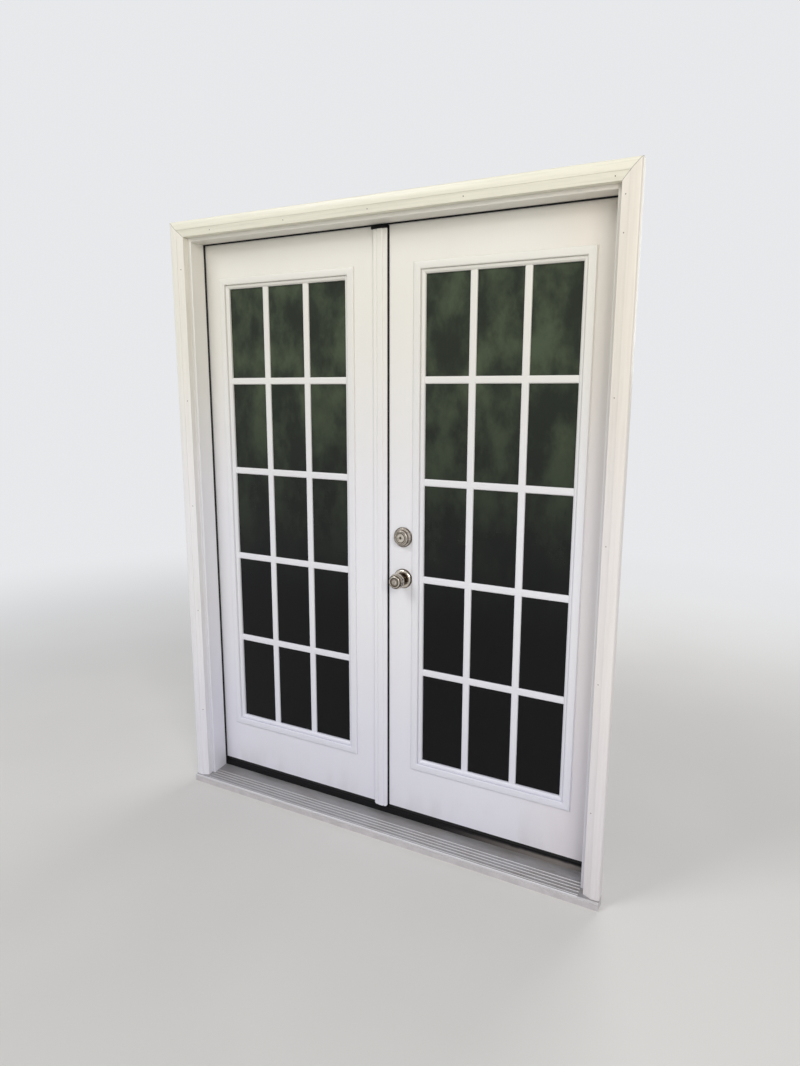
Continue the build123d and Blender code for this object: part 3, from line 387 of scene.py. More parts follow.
class Finish:
    """A material under way, with short ways to add nodes to it."""

    def __init__(self, name, roughness=0.5, metallic=0.0):
        self.material = bpy.data.materials.new(name)
        self.material.use_nodes = True
        self.tree = self.material.node_tree
        self.shader = self.tree.nodes["Principled BSDF"]
        self.fix("Roughness", roughness)
        self.fix("Metallic", metallic)
        self.places = self.tree.nodes.new("ShaderNodeTexCoord").outputs["Object"]

    def fix(self, socket, value):
        """Set one of the shader's own sockets."""
        self.shader.inputs[socket].default_value = value

    def join(self, source, target):
        """Link a socket to another, or write a plain value into it."""
        if isinstance(source, bpy.types.NodeSocket):
            self.tree.links.new(source, target)
        else:
            target.default_value = source

    def node(self, kind, output, inputs, **options):
        """Add a node, fill its inputs and give back one of its outputs."""
        node = self.tree.nodes.new(kind)
        for key, value in options.items():
            setattr(node, key, value)
        for key, value in inputs.items():
            self.join(value, node.inputs[key])
        return node.outputs[output]

    def spread(self, stretch):
        """Coordinates stretched by a factor along each axis."""
        return self.node("ShaderNodeMapping", "Vector", {"Vector": self.places, "Scale": stretch})

    def noise(self, scale, detail=3.0, stretch=None, rough=0.5):
        """Cloudy noise from 0 to 1."""
        vector = self.spread(stretch) if stretch else self.places
        inputs = {"Vector": vector, "Scale": scale, "Detail": detail, "Roughness": rough}
        return self.node("ShaderNodeTexNoise", "Fac", inputs)

    def cells(self, scale):
        """Distance to the nearest of a scatter of points."""
        inputs = {"Vector": self.places, "Scale": scale}
        return self.node("ShaderNodeTexVoronoi", "Distance", inputs)

    def part(self, axis):
        """One coordinate, by its letter."""
        return self.node("ShaderNodeSeparateXYZ", axis, {"Vector": self.places})

    def ramp(self, value, start, end, first=0.0, last=1.0):
        """A value carried smoothly from one range to another."""
        inputs = {"Value": value, "From Min": start, "From Max": end, "To Min": first, "To Max": last}
        return self.node("ShaderNodeMapRange", "Result", inputs, interpolation_type="SMOOTHSTEP")

    def math(self, operation, a, b):
        """A sum, product or the like of two values."""
        return self.node("ShaderNodeMath", "Value", {0: a, 1: b}, operation=operation)

    def mix(self, amount, a, b):
        """Colour a turned into colour b by an amount."""
        a, b = (tuple(c) + (1.0,) if not isinstance(c, bpy.types.NodeSocket) else c for c in (a, b))
        return self.node("ShaderNodeMix", 2, {0: amount, 6: a, 7: b}, data_type="RGBA")

    def bump(self, height, distance, strength=1.0, under=None):
        """A relief of a height in metres, on top of another."""
        inputs = {"Height": height, "Distance": distance, "Strength": strength}
        if under is not None:
            inputs["Normal"] = under
        return self.node("ShaderNodeBump", "Normal", inputs)

    def give(self, **sockets):
        """Feed the shader's sockets, with an underscore for each space."""
        for key, value in sockets.items():
            self.join(value, self.shader.inputs[key.replace("_", " ")])
        return self.material


def white_paint(name, along=(1.0, 1.0, 1.0), grain=0.00004, light_scale=(1.0, 1.0, 1.0), streak=0.0, warm_shade=0.0,
                mitred=False):
    """Satin white paint, with painted cool shade low down and painted warm light high up, with specks,
    and with grime near the sill.

    Brush marks run the way that along squeezes, grain is their depth, and light_scale multiplies the
    tones, to make lit and shaded copies of the paint.
    Streaks, a painted warm shade towards the right and the open joints of the mitres come on demand.
    """
    tone = settings().paint
    finish = Finish(name, tone.gloss)
    height = finish.part("Z")
    stops = (tone.lower, tone.middle, tone.upper)
    # light_scale brightens or darkens the tones: painted light or painted shade
    lower, midway, upper = (tuple(c * k for c, k in zip(stop, light_scale)) for stop in stops)
    # Painted light and shade: cool and darker low down, brightest at mid height, warm high up
    colour = finish.mix(finish.ramp(height, *LOWER_TURN), lower, midway)
    colour = finish.mix(finish.ramp(height, *UPPER_TURN), colour, upper)
    # Painted warm shade and bounced light, growing towards the right hinge side
    if warm_shade:
        colour = finish.mix(finish.ramp(finish.part("X"), *WARM_SHADE_RUN, 0.0, warm_shade), colour, PAINTED_WARM_SHADE)
    cloud = finish.ramp(finish.noise(1.7, 4.0), 0.35, 0.75, 0.0, 0.045)
    colour = finish.mix(cloud, colour, tone.grime)
    near_sill = finish.ramp(height, *SILL_GRIME, 0.16, 0.0)
    smear = finish.ramp(finish.noise(16.0, 5.0, (1.0, 1.0, 0.35)), 0.42, 0.72)
    colour = finish.mix(finish.math("MULTIPLY", near_sill, smear), colour, tone.grime)
    speck = finish.ramp(finish.cells(34.0), 0.018, 0.030, 0.34, 0.0)
    gate = finish.ramp(finish.noise(5.0, 1.0), 0.60, 0.66)
    colour = finish.mix(finish.math("MULTIPLY", speck, gate), colour, tone.grime)
    if streak:
        lines = finish.ramp(finish.noise(150.0, 4.0, along, 0.6), 0.42, 0.68, 0.0, streak)
        colour = finish.mix(lines, colour, tone.grime)
    if mitred:
        across = finish.math("ABSOLUTE", finish.part("X"), 0.0)
        joint_height = finish.math("ADD", across, CASING_CORNER.z - CASING_CORNER.x)
        offset = finish.math("SUBTRACT", joint_height, height)
        joint = finish.ramp(finish.math("ABSOLUTE", offset, 0.0), 0.0004, 0.0011, 0.8, 0.0)
        colour = finish.mix(joint, colour, tuple(c * 0.25 for c in tone.grime))
    brush = finish.noise(260.0, 3.0, along)
    relief = finish.bump(brush, grain)
    relief = finish.bump(finish.noise(9.0, 2.0), 0.0005, 0.25, relief)
    gloss = finish.ramp(finish.noise(24.0, 3.0, along), 0.3, 0.7, tone.gloss - 0.05, tone.gloss + 0.07)
    finish.fix("Coat Weight", 0.12)
    finish.fix("Coat Roughness", 0.22)
    return finish.give(Base_Color=colour, Roughness=gloss, Normal=relief)


def pane_glass(name):
    """Dark reflective glass of a sealed unit, with painted shade in its near-black tone and a painted
    greenish reflection, mottled, in its upper rows.
    """
    tone = settings().glass
    finish = Finish(name, 0.015)
    # Painted reflection, mottled and greenish in the upper rows, over a near-black tone that is painted
    # shade
    rise = finish.ramp(finish.part("Z"), *PANE_REFLECTION_TURN)
    reflection_mottle = finish.ramp(finish.noise(5.5, 5.0, (1.3, 1.0, 0.8), 0.6), 0.38, 0.66)
    share = finish.math("MULTIPLY", rise, finish.math("ADD", finish.math("MULTIPLY", reflection_mottle, 0.75), 0.25))
    colour = finish.mix(share, tone.lower, tone.upper)
    finish.fix("Transmission Weight", tone.clearness)
    finish.fix("IOR", 1.52)
    finish.fix("Specular IOR Level", 0.15)
    waviness = finish.bump(finish.noise(3.0, 1.0), 0.0004, 0.18)
    return finish.give(Base_Color=colour, Normal=waviness)


def satin_nickel(name, rough=0.22, centre=None, rings=()):
    """Satin nickel with brown, tarnished patches, and with painted dark reflections and shade in rings
    round a centre.
    """
    tone = settings().metal.nickel
    finish = Finish(name, rough, 1.0)
    dark = (tone[0] * 0.16, tone[1] * 0.13, tone[2] * 0.11)
    tarnish_and_reflection = finish.ramp(finish.noise(62.0, 4.0, rough=0.6), 0.42, 0.72, 0.05, 0.62)
    if centre is not None:
        flat = finish.spread((1.0, 0.0, 1.0))
        spot = (centre.x, 0.0, centre.z)
        reach = finish.node("ShaderNodeVectorMath", "Value", {0: flat, 1: spot}, operation="DISTANCE")
        # Painted dark reflections and shade, in rings round the centre
        for radius, width, depth in rings:
            off = finish.math("ABSOLUTE", finish.math("SUBTRACT", reach, radius), 0.0)
            ring = finish.ramp(off, width * 0.65, width, depth, 0.0)
            tarnish_and_reflection = finish.math("MAXIMUM", tarnish_and_reflection, ring)
    colour = finish.mix(tarnish_and_reflection, tone, dark)
    brush = finish.noise(900.0, 2.0, (1.0, 0.12, 1.0))
    gloss = finish.ramp(finish.noise(140.0, 3.0), 0.3, 0.7, rough - 0.08, rough + 0.10)
    return finish.give(Base_Color=colour, Roughness=gloss, Normal=finish.bump(brush, 0.00002))


def ribbed_aluminium(name):
    """Extruded metal with die lines, a pale nose, dirt towards the right, painted shade in the grooves
    and painted highlights on the ridges, stronger towards the right.
    """
    tone = settings().metal.aluminium
    finish = Finish(name, 0.46, 0.7)
    lines = finish.noise(520.0, 3.0, (0.012, 1.0, 1.0))
    pale = tuple(min(1.0, c * 1.25) for c in tone)
    colour = finish.mix(finish.ramp(lines, 0.35, 0.65, 0.0, 0.5), tone, pale)
    dirt = finish.ramp(finish.noise(7.0, 6.0, (1.0, 2.4, 1.0), 0.65), 0.40, 0.74, 0.0, 0.75)
    far = finish.ramp(finish.part("X"), *DIRT_RUN, 0.45, 1.0)
    colour = finish.mix(finish.math("MULTIPLY", dirt, far), colour, settings().paint.grime)
    away = finish.math("SUBTRACT", finish.part("Y"), DECK_FOOT[0])
    slope = finish.math("MULTIPLY", away, DECK_SLOPE)
    above = finish.math("SUBTRACT", finish.math("SUBTRACT", finish.part("Z"), DECK_FOOT[1]), slope)
    # Painted shade in the grooves between the ridges
    groove_shade = finish.ramp(above, -0.0006, 0.0006, 0.62, 0.0)
    colour = finish.mix(groove_shade, colour, tuple(c * 0.32 for c in tone))
    # Painted highlights on the ridges' crests, stronger towards the right
    highlight_reach = finish.ramp(finish.part("X"), *CREST_HIGHLIGHT_RUN, 0.35, 1.0)
    crest_highlight = finish.math("MULTIPLY", finish.ramp(above, 0.0006, 0.0011, 0.0, 0.8), highlight_reach)
    colour = finish.mix(crest_highlight, colour, tuple(min(1.0, c * 1.9) for c in tone))
    # Paler along the front nose
    nose = low("sill_deck").y
    pale_nose = finish.ramp(finish.part("Y"), nose + 0.004, nose + 0.007, 0.85, 0.0)
    colour = finish.mix(pale_nose, colour, tuple(min(1.0, c * 1.75) for c in tone))
    gloss = finish.ramp(finish.noise(40.0, 4.0, (0.2, 1.0, 1.0)), 0.3, 0.7, 0.38, 0.62)
    return finish.give(Base_Color=colour, Roughness=gloss, Normal=finish.bump(lines, 0.00005, 0.7))


def dusty_vinyl(name):
    """Black vinyl with pale dust at its foot, thicker towards the right."""
    finish = Finish(name, 0.75)
    finish.fix("Specular IOR Level", 0.12)
    foot = low("sill_riser").z
    cloud = finish.math("MULTIPLY", finish.noise(60.0, 4.0, (0.5, 1.0, 1.0)), 0.006)
    above = finish.math("SUBTRACT", finish.part("Z"), cloud)
    far = finish.ramp(finish.part("X"), *DUST_RUN)
    dust = finish.math("MULTIPLY", finish.ramp(above, foot + 0.008, foot + 0.016, 0.9, 0.0), far)
    return finish.give(Base_Color=finish.mix(dust, (0.008, 0.008, 0.009), (0.20, 0.18, 0.17)))


def plain_moulding(name, tone, rough, grain=0.00004, scale=420.0, drift=0.12, shine=0.5):
    """A moulded or foamed stuff of one tone, with a fine grain and slight changes of tone."""
    finish = Finish(name, rough)
    finish.fix("Specular IOR Level", shine)
    dark = tuple(c * (1.0 - drift) for c in tone)
    colour = finish.mix(finish.ramp(finish.noise(30.0, 4.0), 0.3, 0.7), dark, tone)
    return finish.give(Base_Color=colour, Normal=finish.bump(finish.noise(scale, 3.0), grain))


def bare_timber(name):
    """Pine with grain that runs up the stiles."""
    finish = Finish(name, 0.62)
    grain = finish.noise(38.0, 5.0, (1.0, 1.0, 0.05), 0.6)
    colour = finish.mix(finish.ramp(grain, 0.3, 0.7), (0.50, 0.33, 0.18), (0.66, 0.49, 0.30))
    return finish.give(Base_Color=colour, Normal=finish.bump(grain, 0.0002, 0.5))


def floor_matt(name):
    """Pale floor that fades into the background with distance, for what eye, gloss and glass see."""
    finish = Finish(name, 0.9)
    finish.fix("Specular IOR Level", 0.1)
    stage = settings().stage
    dark = tuple(c * 0.97 for c in stage.floor)
    colour = finish.mix(finish.ramp(finish.noise(1.2, 2.0), 0.35, 0.65), dark, stage.floor)
    finish.give(Base_Color=colour)
    distance = finish.node("ShaderNodeVectorMath", "Value", {0: finish.places}, operation="LENGTH")
    fade = finish.math("MULTIPLY", finish.ramp(distance, *FLOOR_FADE), seen_rays(finish.tree))
    glow = finish.node("ShaderNodeEmission", "Emission", {"Color": tuple(stage.backdrop) + (1.0,)})
    both = finish.node("ShaderNodeMixShader", "Shader", {0: fade, 1: finish.shader.outputs[0], 2: glow})
    finish.join(both, finish.tree.nodes["Material Output"].inputs["Surface"])
    return finish.material


def finish_nodes(material, *names):
    """Put a material on pieces of the model."""
    for name in names:
        mesh = NODES[name].data
        mesh.materials.clear()
        mesh.materials.append(material)


# Mesh makers


def deck_height(depth):
    """Height of the deck's slope at a depth."""
    return DECK_FOOT[1] + (depth - DECK_FOOT[0]) * DECK_SLOPE


def casing_section():
    """The moulding's section, as pairs of across and proud: its face, then its hollow back."""
    turns = [math.pi / 2 * n / CASING_FACETS for n in range(CASING_FACETS + 1)]
    shares = [n / (2 * CASING_FACETS) for n in range(2 * CASING_FACETS)]
    arris, swell, ease = CASING_ARRIS, CASING_SWELL, CASING_ROUND
    start = CASING_FIELD + CASING_STEP_RUN
    end = CASING_WIDE - ease
    edge = [(arris * (1.0 - math.cos(a)), CASING_EDGE - arris * (1.0 - math.sin(a))) for a in turns]
    step = (CASING_FIELD, CASING_BAND - CASING_STEP_RISE)
    band = [(start + (end - start) * s, CASING_BAND + swell * math.sin(math.pi * s)) for s in shares]
    side = [(end + ease * math.sin(a), CASING_BAND - ease * (1.0 - math.cos(a))) for a in turns]
    hollow = [(HOLLOW_END, 0.0), (HOLLOW_END, HOLLOW_DEEP)]
    hollow += [(HOLLOW_START, HOLLOW_DEEP), (HOLLOW_START, 0.0)]
    return [*edge, step, *band, *side, (CASING_WIDE, 0.0), *hollow, (0.0, 0.0)]


def casing_mitre(way):
    """Where the points of the moulding's section lie in the mitre of one side."""

    def place(across, proud):
        return Vector((way * (CASING_CORNER.x + across), CASING_BACK - proud, CASING_CORNER.z + across))

    return place


def casing_foot(way):
    """Where the points of the moulding's section lie on the deck, at the foot of one side."""

    def place(across, proud):
        depth = CASING_BACK - proud
        return Vector((way * (CASING_CORNER.x + across), depth, deck_height(depth)))

    return place


def casing_strip(maker, ends):
    """A length of the moulding between two ends, each of which places a point of the section."""
    section = casing_section()
    rows = [[maker.verts.new(end(across, proud)) for across, proud in section] for end in ends]
    for row in rows:
        maker.faces.new(row)
    for n in range(len(section)):
        after = (n + 1) % len(section)
        maker.faces.new((rows[0][n], rows[0][after], rows[1][after], rows[1][n]))


def new_piece(name, mesh_maker, material, body):
    """Make a mesh piece, finish it and let it ride on a body."""
    mesh = bpy.data.meshes.new(name)
    maker = bmesh.new()
    mesh_maker(maker)
    bmesh.ops.recalc_face_normals(maker, faces=maker.faces)
    maker.to_mesh(mesh)
    maker.free()
    mesh.materials.append(material)
    piece = bpy.data.objects.new(name, mesh)
    bpy.context.scene.collection.objects.link(piece)
    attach(piece, body)
    return piece


def facing(direction, place):
    """The matrix that turns +Z to a direction and moves to a place."""
    return Matrix.Translation(place) @ Vector(direction).to_track_quat("Z", "Y").to_matrix().to_4x4()


def meeting(piece, start, direction):
    """Where a straight line from a point first meets a piece, and which way the piece faces there."""
    mesh = piece.data
    tree = BVHTree.FromPolygons([v.co for v in mesh.vertices], [p.vertices for p in mesh.polygons])
    place, normal = tree.ray_cast(Vector(start), Vector(direction))[:2]
    if place is None:
        raise RuntimeError(f"nothing of {piece.name} lies that way")
    return place, normal


def seat(node, start, direction):
    """Where a straight line from a point first meets a piece of the model."""
    return meeting(NODES[node], start, direction)[0]


def cross_recess(x, y, radius):
    """Depth share of a screw's cross recess at a point of its head."""
    arm = radius * 0.62
    width = radius * 0.17
    share = 0.0
    for u, v in ((abs(x), abs(y)), (abs(y), abs(x))):
        if u < arm and v < width:
            share = max(share, 1.0 - 0.55 * u / arm)
    return share


def ring_of_points(maker, matrix, radius, height, spokes):
    """Points in a ring round the +Z of a matrix."""
    turns = [math.tau * spoke / spokes for spoke in range(spokes)]
    spots = [Vector((radius * math.cos(turn), radius * math.sin(turn), height)) for turn in turns]
    return [maker.verts.new(matrix @ spot) for spot in spots]


def screw_head(maker, matrix, radius, rise):
    """A flat screw head with a cross recess and an eased rim."""
    rings = 11
    spokes = 40
    depth = radius * 0.38
    rows = []
    for ring in range(rings + 1):
        share = ring / rings
        row = []
        for spoke in range(spokes):
            angle = math.tau * spoke / spokes
            x = radius * share * math.cos(angle)
            y = radius * share * math.sin(angle)
            z = rise * (1.0 - share ** 6) - depth * cross_recess(x, y, radius)
            row.append(maker.verts.new(matrix @ Vector((x, y, z))))
            if ring == 0:
                break
        rows.append(row)
    foot = ring_of_points(maker, matrix, radius, -rise, spokes)
    rows.append(foot)
    for spoke in range(spokes):
        after = (spoke + 1) % spokes
        maker.faces.new((rows[0][0], rows[1][spoke], rows[1][after]))
        for inner, outer in zip(rows[1:], rows[2:]):
            maker.faces.new((inner[spoke], outer[spoke], outer[after], inner[after]))
    maker.faces.new(foot[::-1])


def turned_disc(maker, matrix, profile, spokes=36):
    """A closed turned form from pairs of radius and height, the first and last on the axis."""
    rows = []
    for radius, height in profile:
        if radius == 0.0:
            rows.append([maker.verts.new(matrix @ Vector((0, 0, height)))] * spokes)
        else:
            rows.append(ring_of_points(maker, matrix, radius, height, spokes))
    for lower, upper in zip(rows, rows[1:]):
        for spoke in range(spokes):
            after = (spoke + 1) % spokes
            corners = dict.fromkeys((lower[spoke], lower[after], upper[after], upper[spoke]))
            if len(corners) > 2:
                maker.faces.new(list(corners))


def screws(name, places, direction, radius, rise, body, material):
    """A group of like screw heads as one piece."""

    def make(maker):
        for place in places:
            screw_head(maker, facing(direction, place), radius, rise)

    piece = new_piece(name, make, material, body)
    piece.data.shade_smooth()


# Floor, light and camera


def lay_floor():
    """A wide floor at the foot of the frame."""
    bpy.ops.mesh.primitive_circle_add(vertices=96, radius=FLOOR_RADIUS, fill_type="NGON")
    floor = bpy.context.object
    floor.name = "floor"
    floor.data.materials.append(floor_matt("floor_matt"))


def seen_rays(tree):
    """A socket that is 1 for what the camera, gloss and glass see, and 0 for light on other surfaces."""
    ray = tree.nodes.new("ShaderNodeLightPath").outputs
    seen = ray["Is Camera Ray"]
    for kind in ("Is Glossy Ray", "Is Transmission Ray"):
        add = tree.nodes.new("ShaderNodeMath")
        add.operation = "MAXIMUM"
        tree.links.new(seen, add.inputs[0])
        tree.links.new(ray[kind], add.inputs[1])
        seen = add.outputs[0]
    return seen


def light_world(scene):
    """Even light from all round, and the pale background that the camera, gloss and glass see."""
    world = bpy.data.worlds.new("studio")
    scene.world = world
    world.use_nodes = True
    tree = world.node_tree
    tree.nodes.clear()
    seen = seen_rays(tree)
    even = tree.nodes.new("ShaderNodeBackground")
    even.inputs["Color"].default_value = SKY_TONE + (1.0,)
    even.inputs["Strength"].default_value = SKY_STRENGTH
    shown = tree.nodes.new("ShaderNodeBackground")
    shown.inputs["Color"].default_value = tuple(settings().stage.backdrop) + (1.0,)
    choose = tree.nodes.new("ShaderNodeMixShader")
    tree.links.new(seen, choose.inputs[0])
    tree.links.new(even.outputs[0], choose.inputs[1])
    tree.links.new(shown.outputs[0], choose.inputs[2])
    target = tree.nodes.new("ShaderNodeOutputWorld")
    tree.links.new(choose.outputs[0], target.inputs["Surface"])


def hang_lamp(name, place, aim, size, power, colour):
    """A square soft lamp that faces a point."""
    light = bpy.data.lights.new(name, "AREA")
    light.shape = "SQUARE"
    light.size = size
    light.energy = power
    light.color = colour
    lamp = bpy.data.objects.new(name, light)
    lamp.location = place
    lamp.rotation_euler = (Vector(aim) - Vector(place)).to_track_quat("-Z", "Y").to_euler()
    bpy.context.scene.collection.objects.link(lamp)


def place_camera(scene):
    """The camera where the photograph was taken."""
    stage = settings().stage
    data = bpy.data.cameras.new("photo_view")
    data.sensor_width = 36.0
    data.lens = stage.lens
    data.clip_start = 0.05
    data.clip_end = 200.0
    camera = bpy.data.objects.new("photo_view", data)
    camera.location = stage.eye
    camera.rotation_euler = (math.radians(90.0) - stage.pitch, stage.roll, stage.yaw)
    scene.collection.objects.link(camera)
    scene.camera = camera


# Steps


class DOORS_OT_finish_frame(bpy.types.Operator):
    """Paint the jambs and their stops."""

    bl_idname = "doors.finish_frame"
    bl_label = "Finish the frame"

    def execute(self, context):
        # Painted warm shade towards the right
        upright = white_paint("paint_on_uprights", ALONG_Z, warm_shade=0.12)
        # The head jamb's paint is brightened: painted light bounced up from the deck
        level = white_paint("paint_on_head", ALONG_X, light_scale=(1.14, 1.12, 1.08))
        finish_nodes(upright, "jamb_left", "jamb_right", "door_stops")
        finish_nodes(level, "jamb_head")
        return {"FINISHED"}


class DOORS_OT_fit_mouldings(bpy.types.Operator):
    """Fit the painted brick moulding, with its smooth field and crowned outer band, round the frame."""

    bl_idname = "doors.fit_mouldings"
    bl_label = "Brick moulding"

    def execute(self, context):
        # The moulding's paint is brightened, and warmer on the head: painted light; its legs also get the
        # painted warm shade towards the right
        legs = white_paint("paint_on_casing_legs", ALONG_Z, grain=0.00007, light_scale=(1.04, 1.03, 1.0),
                           streak=0.07, warm_shade=0.2, mitred=True)
        head = white_paint("paint_on_casing_head", ALONG_X, grain=0.0001, light_scale=(1.05, 1.05, 0.96),
                           streak=0.12, mitred=True)
        runs = {
            "left": (casing_foot(-1), casing_mitre(-1), legs),
            "right": (casing_foot(1), casing_mitre(1), legs),
            "head": (casing_mitre(-1), casing_mitre(1), head),
        }
        for name, (*ends, paint) in runs.items():

            def make(maker, ends=ends):
                casing_strip(maker, ends)

            piece = new_piece("moulding_" + name, make, paint, "frame")
            piece.data.shade_smooth()
            piece.data.set_sharp_from_angle(angle=math.radians(25.0))
            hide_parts("casing_" + name)
        return {"FINISHED"}


class DOORS_OT_finish_leaves(bpy.types.Operator):
    """Paint both leaves, and finish the timber and foam inside them."""

    bl_idname = "doors.finish_leaves"
    bl_label = "Finish the leaves"

    def execute(self, context):
        # Painted warm shade towards the right hinge side
        sheet = white_paint("paint_on_leaves", grain=0.00003, warm_shade=0.24)
        bar = white_paint("paint_on_astragal", along=(1.0, 1.0, 0.02), grain=0.00002)
        timber = bare_timber("bare_timber")
        foam = plain_moulding("rigid_foam", (0.78, 0.68, 0.42), 0.9, grain=0.0003, scale=160.0)
        for side in LEAVES:
            finish_nodes(sheet, side + "_skin_outer", side + "_skin_inner")
            finish_nodes(timber, side + "_edge_frame")
            finish_nodes(foam, side + "_foam_core")
        finish_nodes(bar, "astragal")
        return {"FINISHED"}


class DOORS_OT_finish_glazing(bpy.types.Operator):
    """Finish the insert frames, the bars and the glass."""

    bl_idname = "doors.finish_glazing"
    bl_label = "Finish the glazing"

    def execute(self, context):
        # The insert frames' paint is made a little darker: painted shade
        moulding = white_paint("moulded_white", grain=0.00002, light_scale=(0.96, 0.965, 0.97))
        glass = pane_glass("dark_glass")
        spacer = plain_moulding("spacer_metal", (0.34, 0.35, 0.36), 0.4)
        for side in LEAVES:
            for face in ("outer", "inner"):
                finish_nodes(moulding, f"{side}_lite_frame_{face}", f"{side}_grille_{face}")
            finish_nodes(glass, side + "_glass_panes")
            finish_nodes(spacer, side + "_glass_spacer")
        return {"FINISHED"}


class DOORS_OT_finish_sill(bpy.types.Operator):
    """Finish the ribbed deck, the core, the riser and the cap."""

    bl_idname = "doors.finish_sill"
    bl_label = "Finish the sill"

    def execute(self, context):
        core = plain_moulding("sill_composite", (0.575, 0.55, 0.57), 0.6, grain=0.0001)
        finish_nodes(ribbed_aluminium("ribbed_aluminium"), "sill_deck")
        finish_nodes(core, "sill_substrate")
        finish_nodes(dusty_vinyl("riser_vinyl"), "sill_riser")
        finish_nodes(plain_moulding("cap_vinyl", (0.20, 0.15, 0.11), 0.5), "threshold_cap")
        return {"FINISHED"}


class DOORS_OT_finish_seals(bpy.types.Operator):
    """Finish the dark seals, pads and sweeps."""

    bl_idname = "doors.finish_seals"
    bl_label = "Finish the seals"

    def execute(self, context):
        rubber = plain_moulding("black_seal", (0.012, 0.012, 0.013), 0.6, grain=0.00005, scale=600.0,
                                drift=0.3, shine=0.2)
        foam = plain_moulding("black_foam", (0.014, 0.014, 0.015), 0.95, grain=0.0004, scale=900.0,
                              drift=0.4, shine=0.1)
        vinyl = plain_moulding("black_vinyl", (0.012, 0.012, 0.013), 0.5, grain=0.00004, scale=300.0,
                               drift=0.3, shine=0.25)
        finish_nodes(rubber, "weatherstrips", "astragal_seal")
        finish_nodes(foam, "corner_pads", "astragal_end_pads")
        finish_nodes(vinyl, "left_sweep", "right_sweep")
        return {"FINISHED"}


class DOORS_OT_finish_metal(bpy.types.Operator):
    """Finish the locks, bolts, plates and hinges."""

    bl_idname = "doors.finish_metal"
    bl_label = "Finish the metal"

    def execute(self, context):
        lock = satin_nickel("lock_nickel")
        plate = satin_nickel("plate_nickel", 0.34)
        knob = satin_nickel("knob_nickel", 0.2, middle("knob_outer"), KNOB_REFLECTION_RINGS)
        rose = satin_nickel("rose_nickel", 0.2, middle("knob_outer"), ROSE_REFLECTION_RINGS)
        collar = satin_nickel("collar_nickel", 0.22, middle("deadbolt_collar"), COLLAR_REFLECTION_RINGS)
        finish_nodes(knob, "knob_outer", "knob_inner")
        finish_nodes(rose, "knob_roses")
        finish_nodes(collar, "deadbolt_collar", "deadbolt_plug")
        finish_nodes(lock, "knob_plug", "turn_button", "deadbolt_inner_plate", "thumb_turn")
        finish_nodes(plate, "latch_bolt", "latch_case", "deadbolt_bolt", "deadbolt_case")
        finish_nodes(plate, "strike_plates", "bolt_keepers", "flush_bolt_top", "flush_bolt_bottom")
        finish_nodes(plate, "hinge_frame_leaves", "left_hinge_leaves", "right_hinge_leaves", "hinge_pins")
        return {"FINISHED"}


class DOORS_OT_add_hinge_screws(bpy.types.Operator):
    """Add the screws of the hinge plates."""

    bl_idname = "doors.add_hinge_screws"
    bl_label = "Hinge screws"

    def execute(self, context):
        metal = settings().metal
        steel = satin_nickel("screw_nickel", 0.24)
        depth = (low("right_hinge_leaves").y + FACE_BACK) / 2
        ends = (HINGE_SPAN[0] + HINGE_TALL / 2, HINGE_SPAN[1] - HINGE_TALL / 2)
        spots = []
        for centre in (ends[0], sum(ends) / 2, ends[1]):
            for row in range(metal.hinge_screws):
                rise = HINGE_TALL * ((row + 0.5) / metal.hinge_screws - 0.5) * HINGE_ROWS_SHARE
                spots.append((depth + (HINGE_STAGGER if row % 2 else -HINGE_STAGGER), centre + rise))
        for side, body in LEAVES.items():
            way = WAYS[side]
            for face, out, owner in (("leaf", way, body), ("jamb", -way, "frame")):
                places = [Vector((way * HINGE_FACES[face], y, z)) for y, z in spots]
                name = f"{side}_{face}_hinge_screws"
                screws(name, places, (out, 0, 0), metal.screw_radius, SCREW_PROUD, owner, steel)
        return {"FINISHED"}


class DOORS_OT_add_plate_screws(bpy.types.Operator):
    """Add the screws of the strike plates, lock plates, bolt keepers and inner lock plates."""

    bl_idname = "doors.add_plate_screws"
    bl_label = "Lock and keeper screws"

    def execute(self, context):
        steel = satin_nickel("small_screw_nickel", 0.24)
        radius = settings().metal.screw_radius * 0.8
        depth = middle("bolt_keepers").y
        for node, body in (("strike_plates", "left_leaf"), ("latch_case", "right_leaf"),
                           ("deadbolt_case", "right_leaf")):
            a, b = low(node), high(node)
            way = 1.0 if body == "left_leaf" else -1.0
            heights = (a.z + PLATE_INSET, b.z - PLATE_INSET)
            if node == "strike_plates":
                tall = high("latch_case").z - low("latch_case").z
                heights = (*heights, a.z + tall - PLATE_INSET, b.z - tall + PLATE_INSET)
            places = [Vector((b.x if way > 0 else a.x, depth, z)) for z in heights]
            screws(node + "_screws", places, (way, 0, 0), radius, SCREW_PROUD, body, steel)
        a, b = low("bolt_keepers"), high("bolt_keepers")
        across = (a.x + KEEPER_INSET, b.x - KEEPER_INSET)
        for name, z, way in (("top", b.z, 1.0), ("bottom", a.z, -1.0)):
            places = [Vector((x, depth, z - way * KEEPER_THICK)) for x in across]
            screws(f"{name}_keeper_screws", places, (0, 0, -way), radius, SCREW_PROUD, "frame", steel)
        for name, node, owner in (("rose", "knob_roses", "knob_outer"),
                                  ("inner_plate", "deadbolt_inner_plate", "deadbolt_inner_plate")):
            centre = middle(owner)
            places = [seat(node, (centre.x + side * LOCK_SCREW_REACH, BEHIND, centre.z), OUTWARD)
                      for side in WAYS.values()]
            screws(name + "_screws", places, INWARD, radius, LOCK_SCREW_PROUD, "right_leaf", steel)
        return {"FINISHED"}


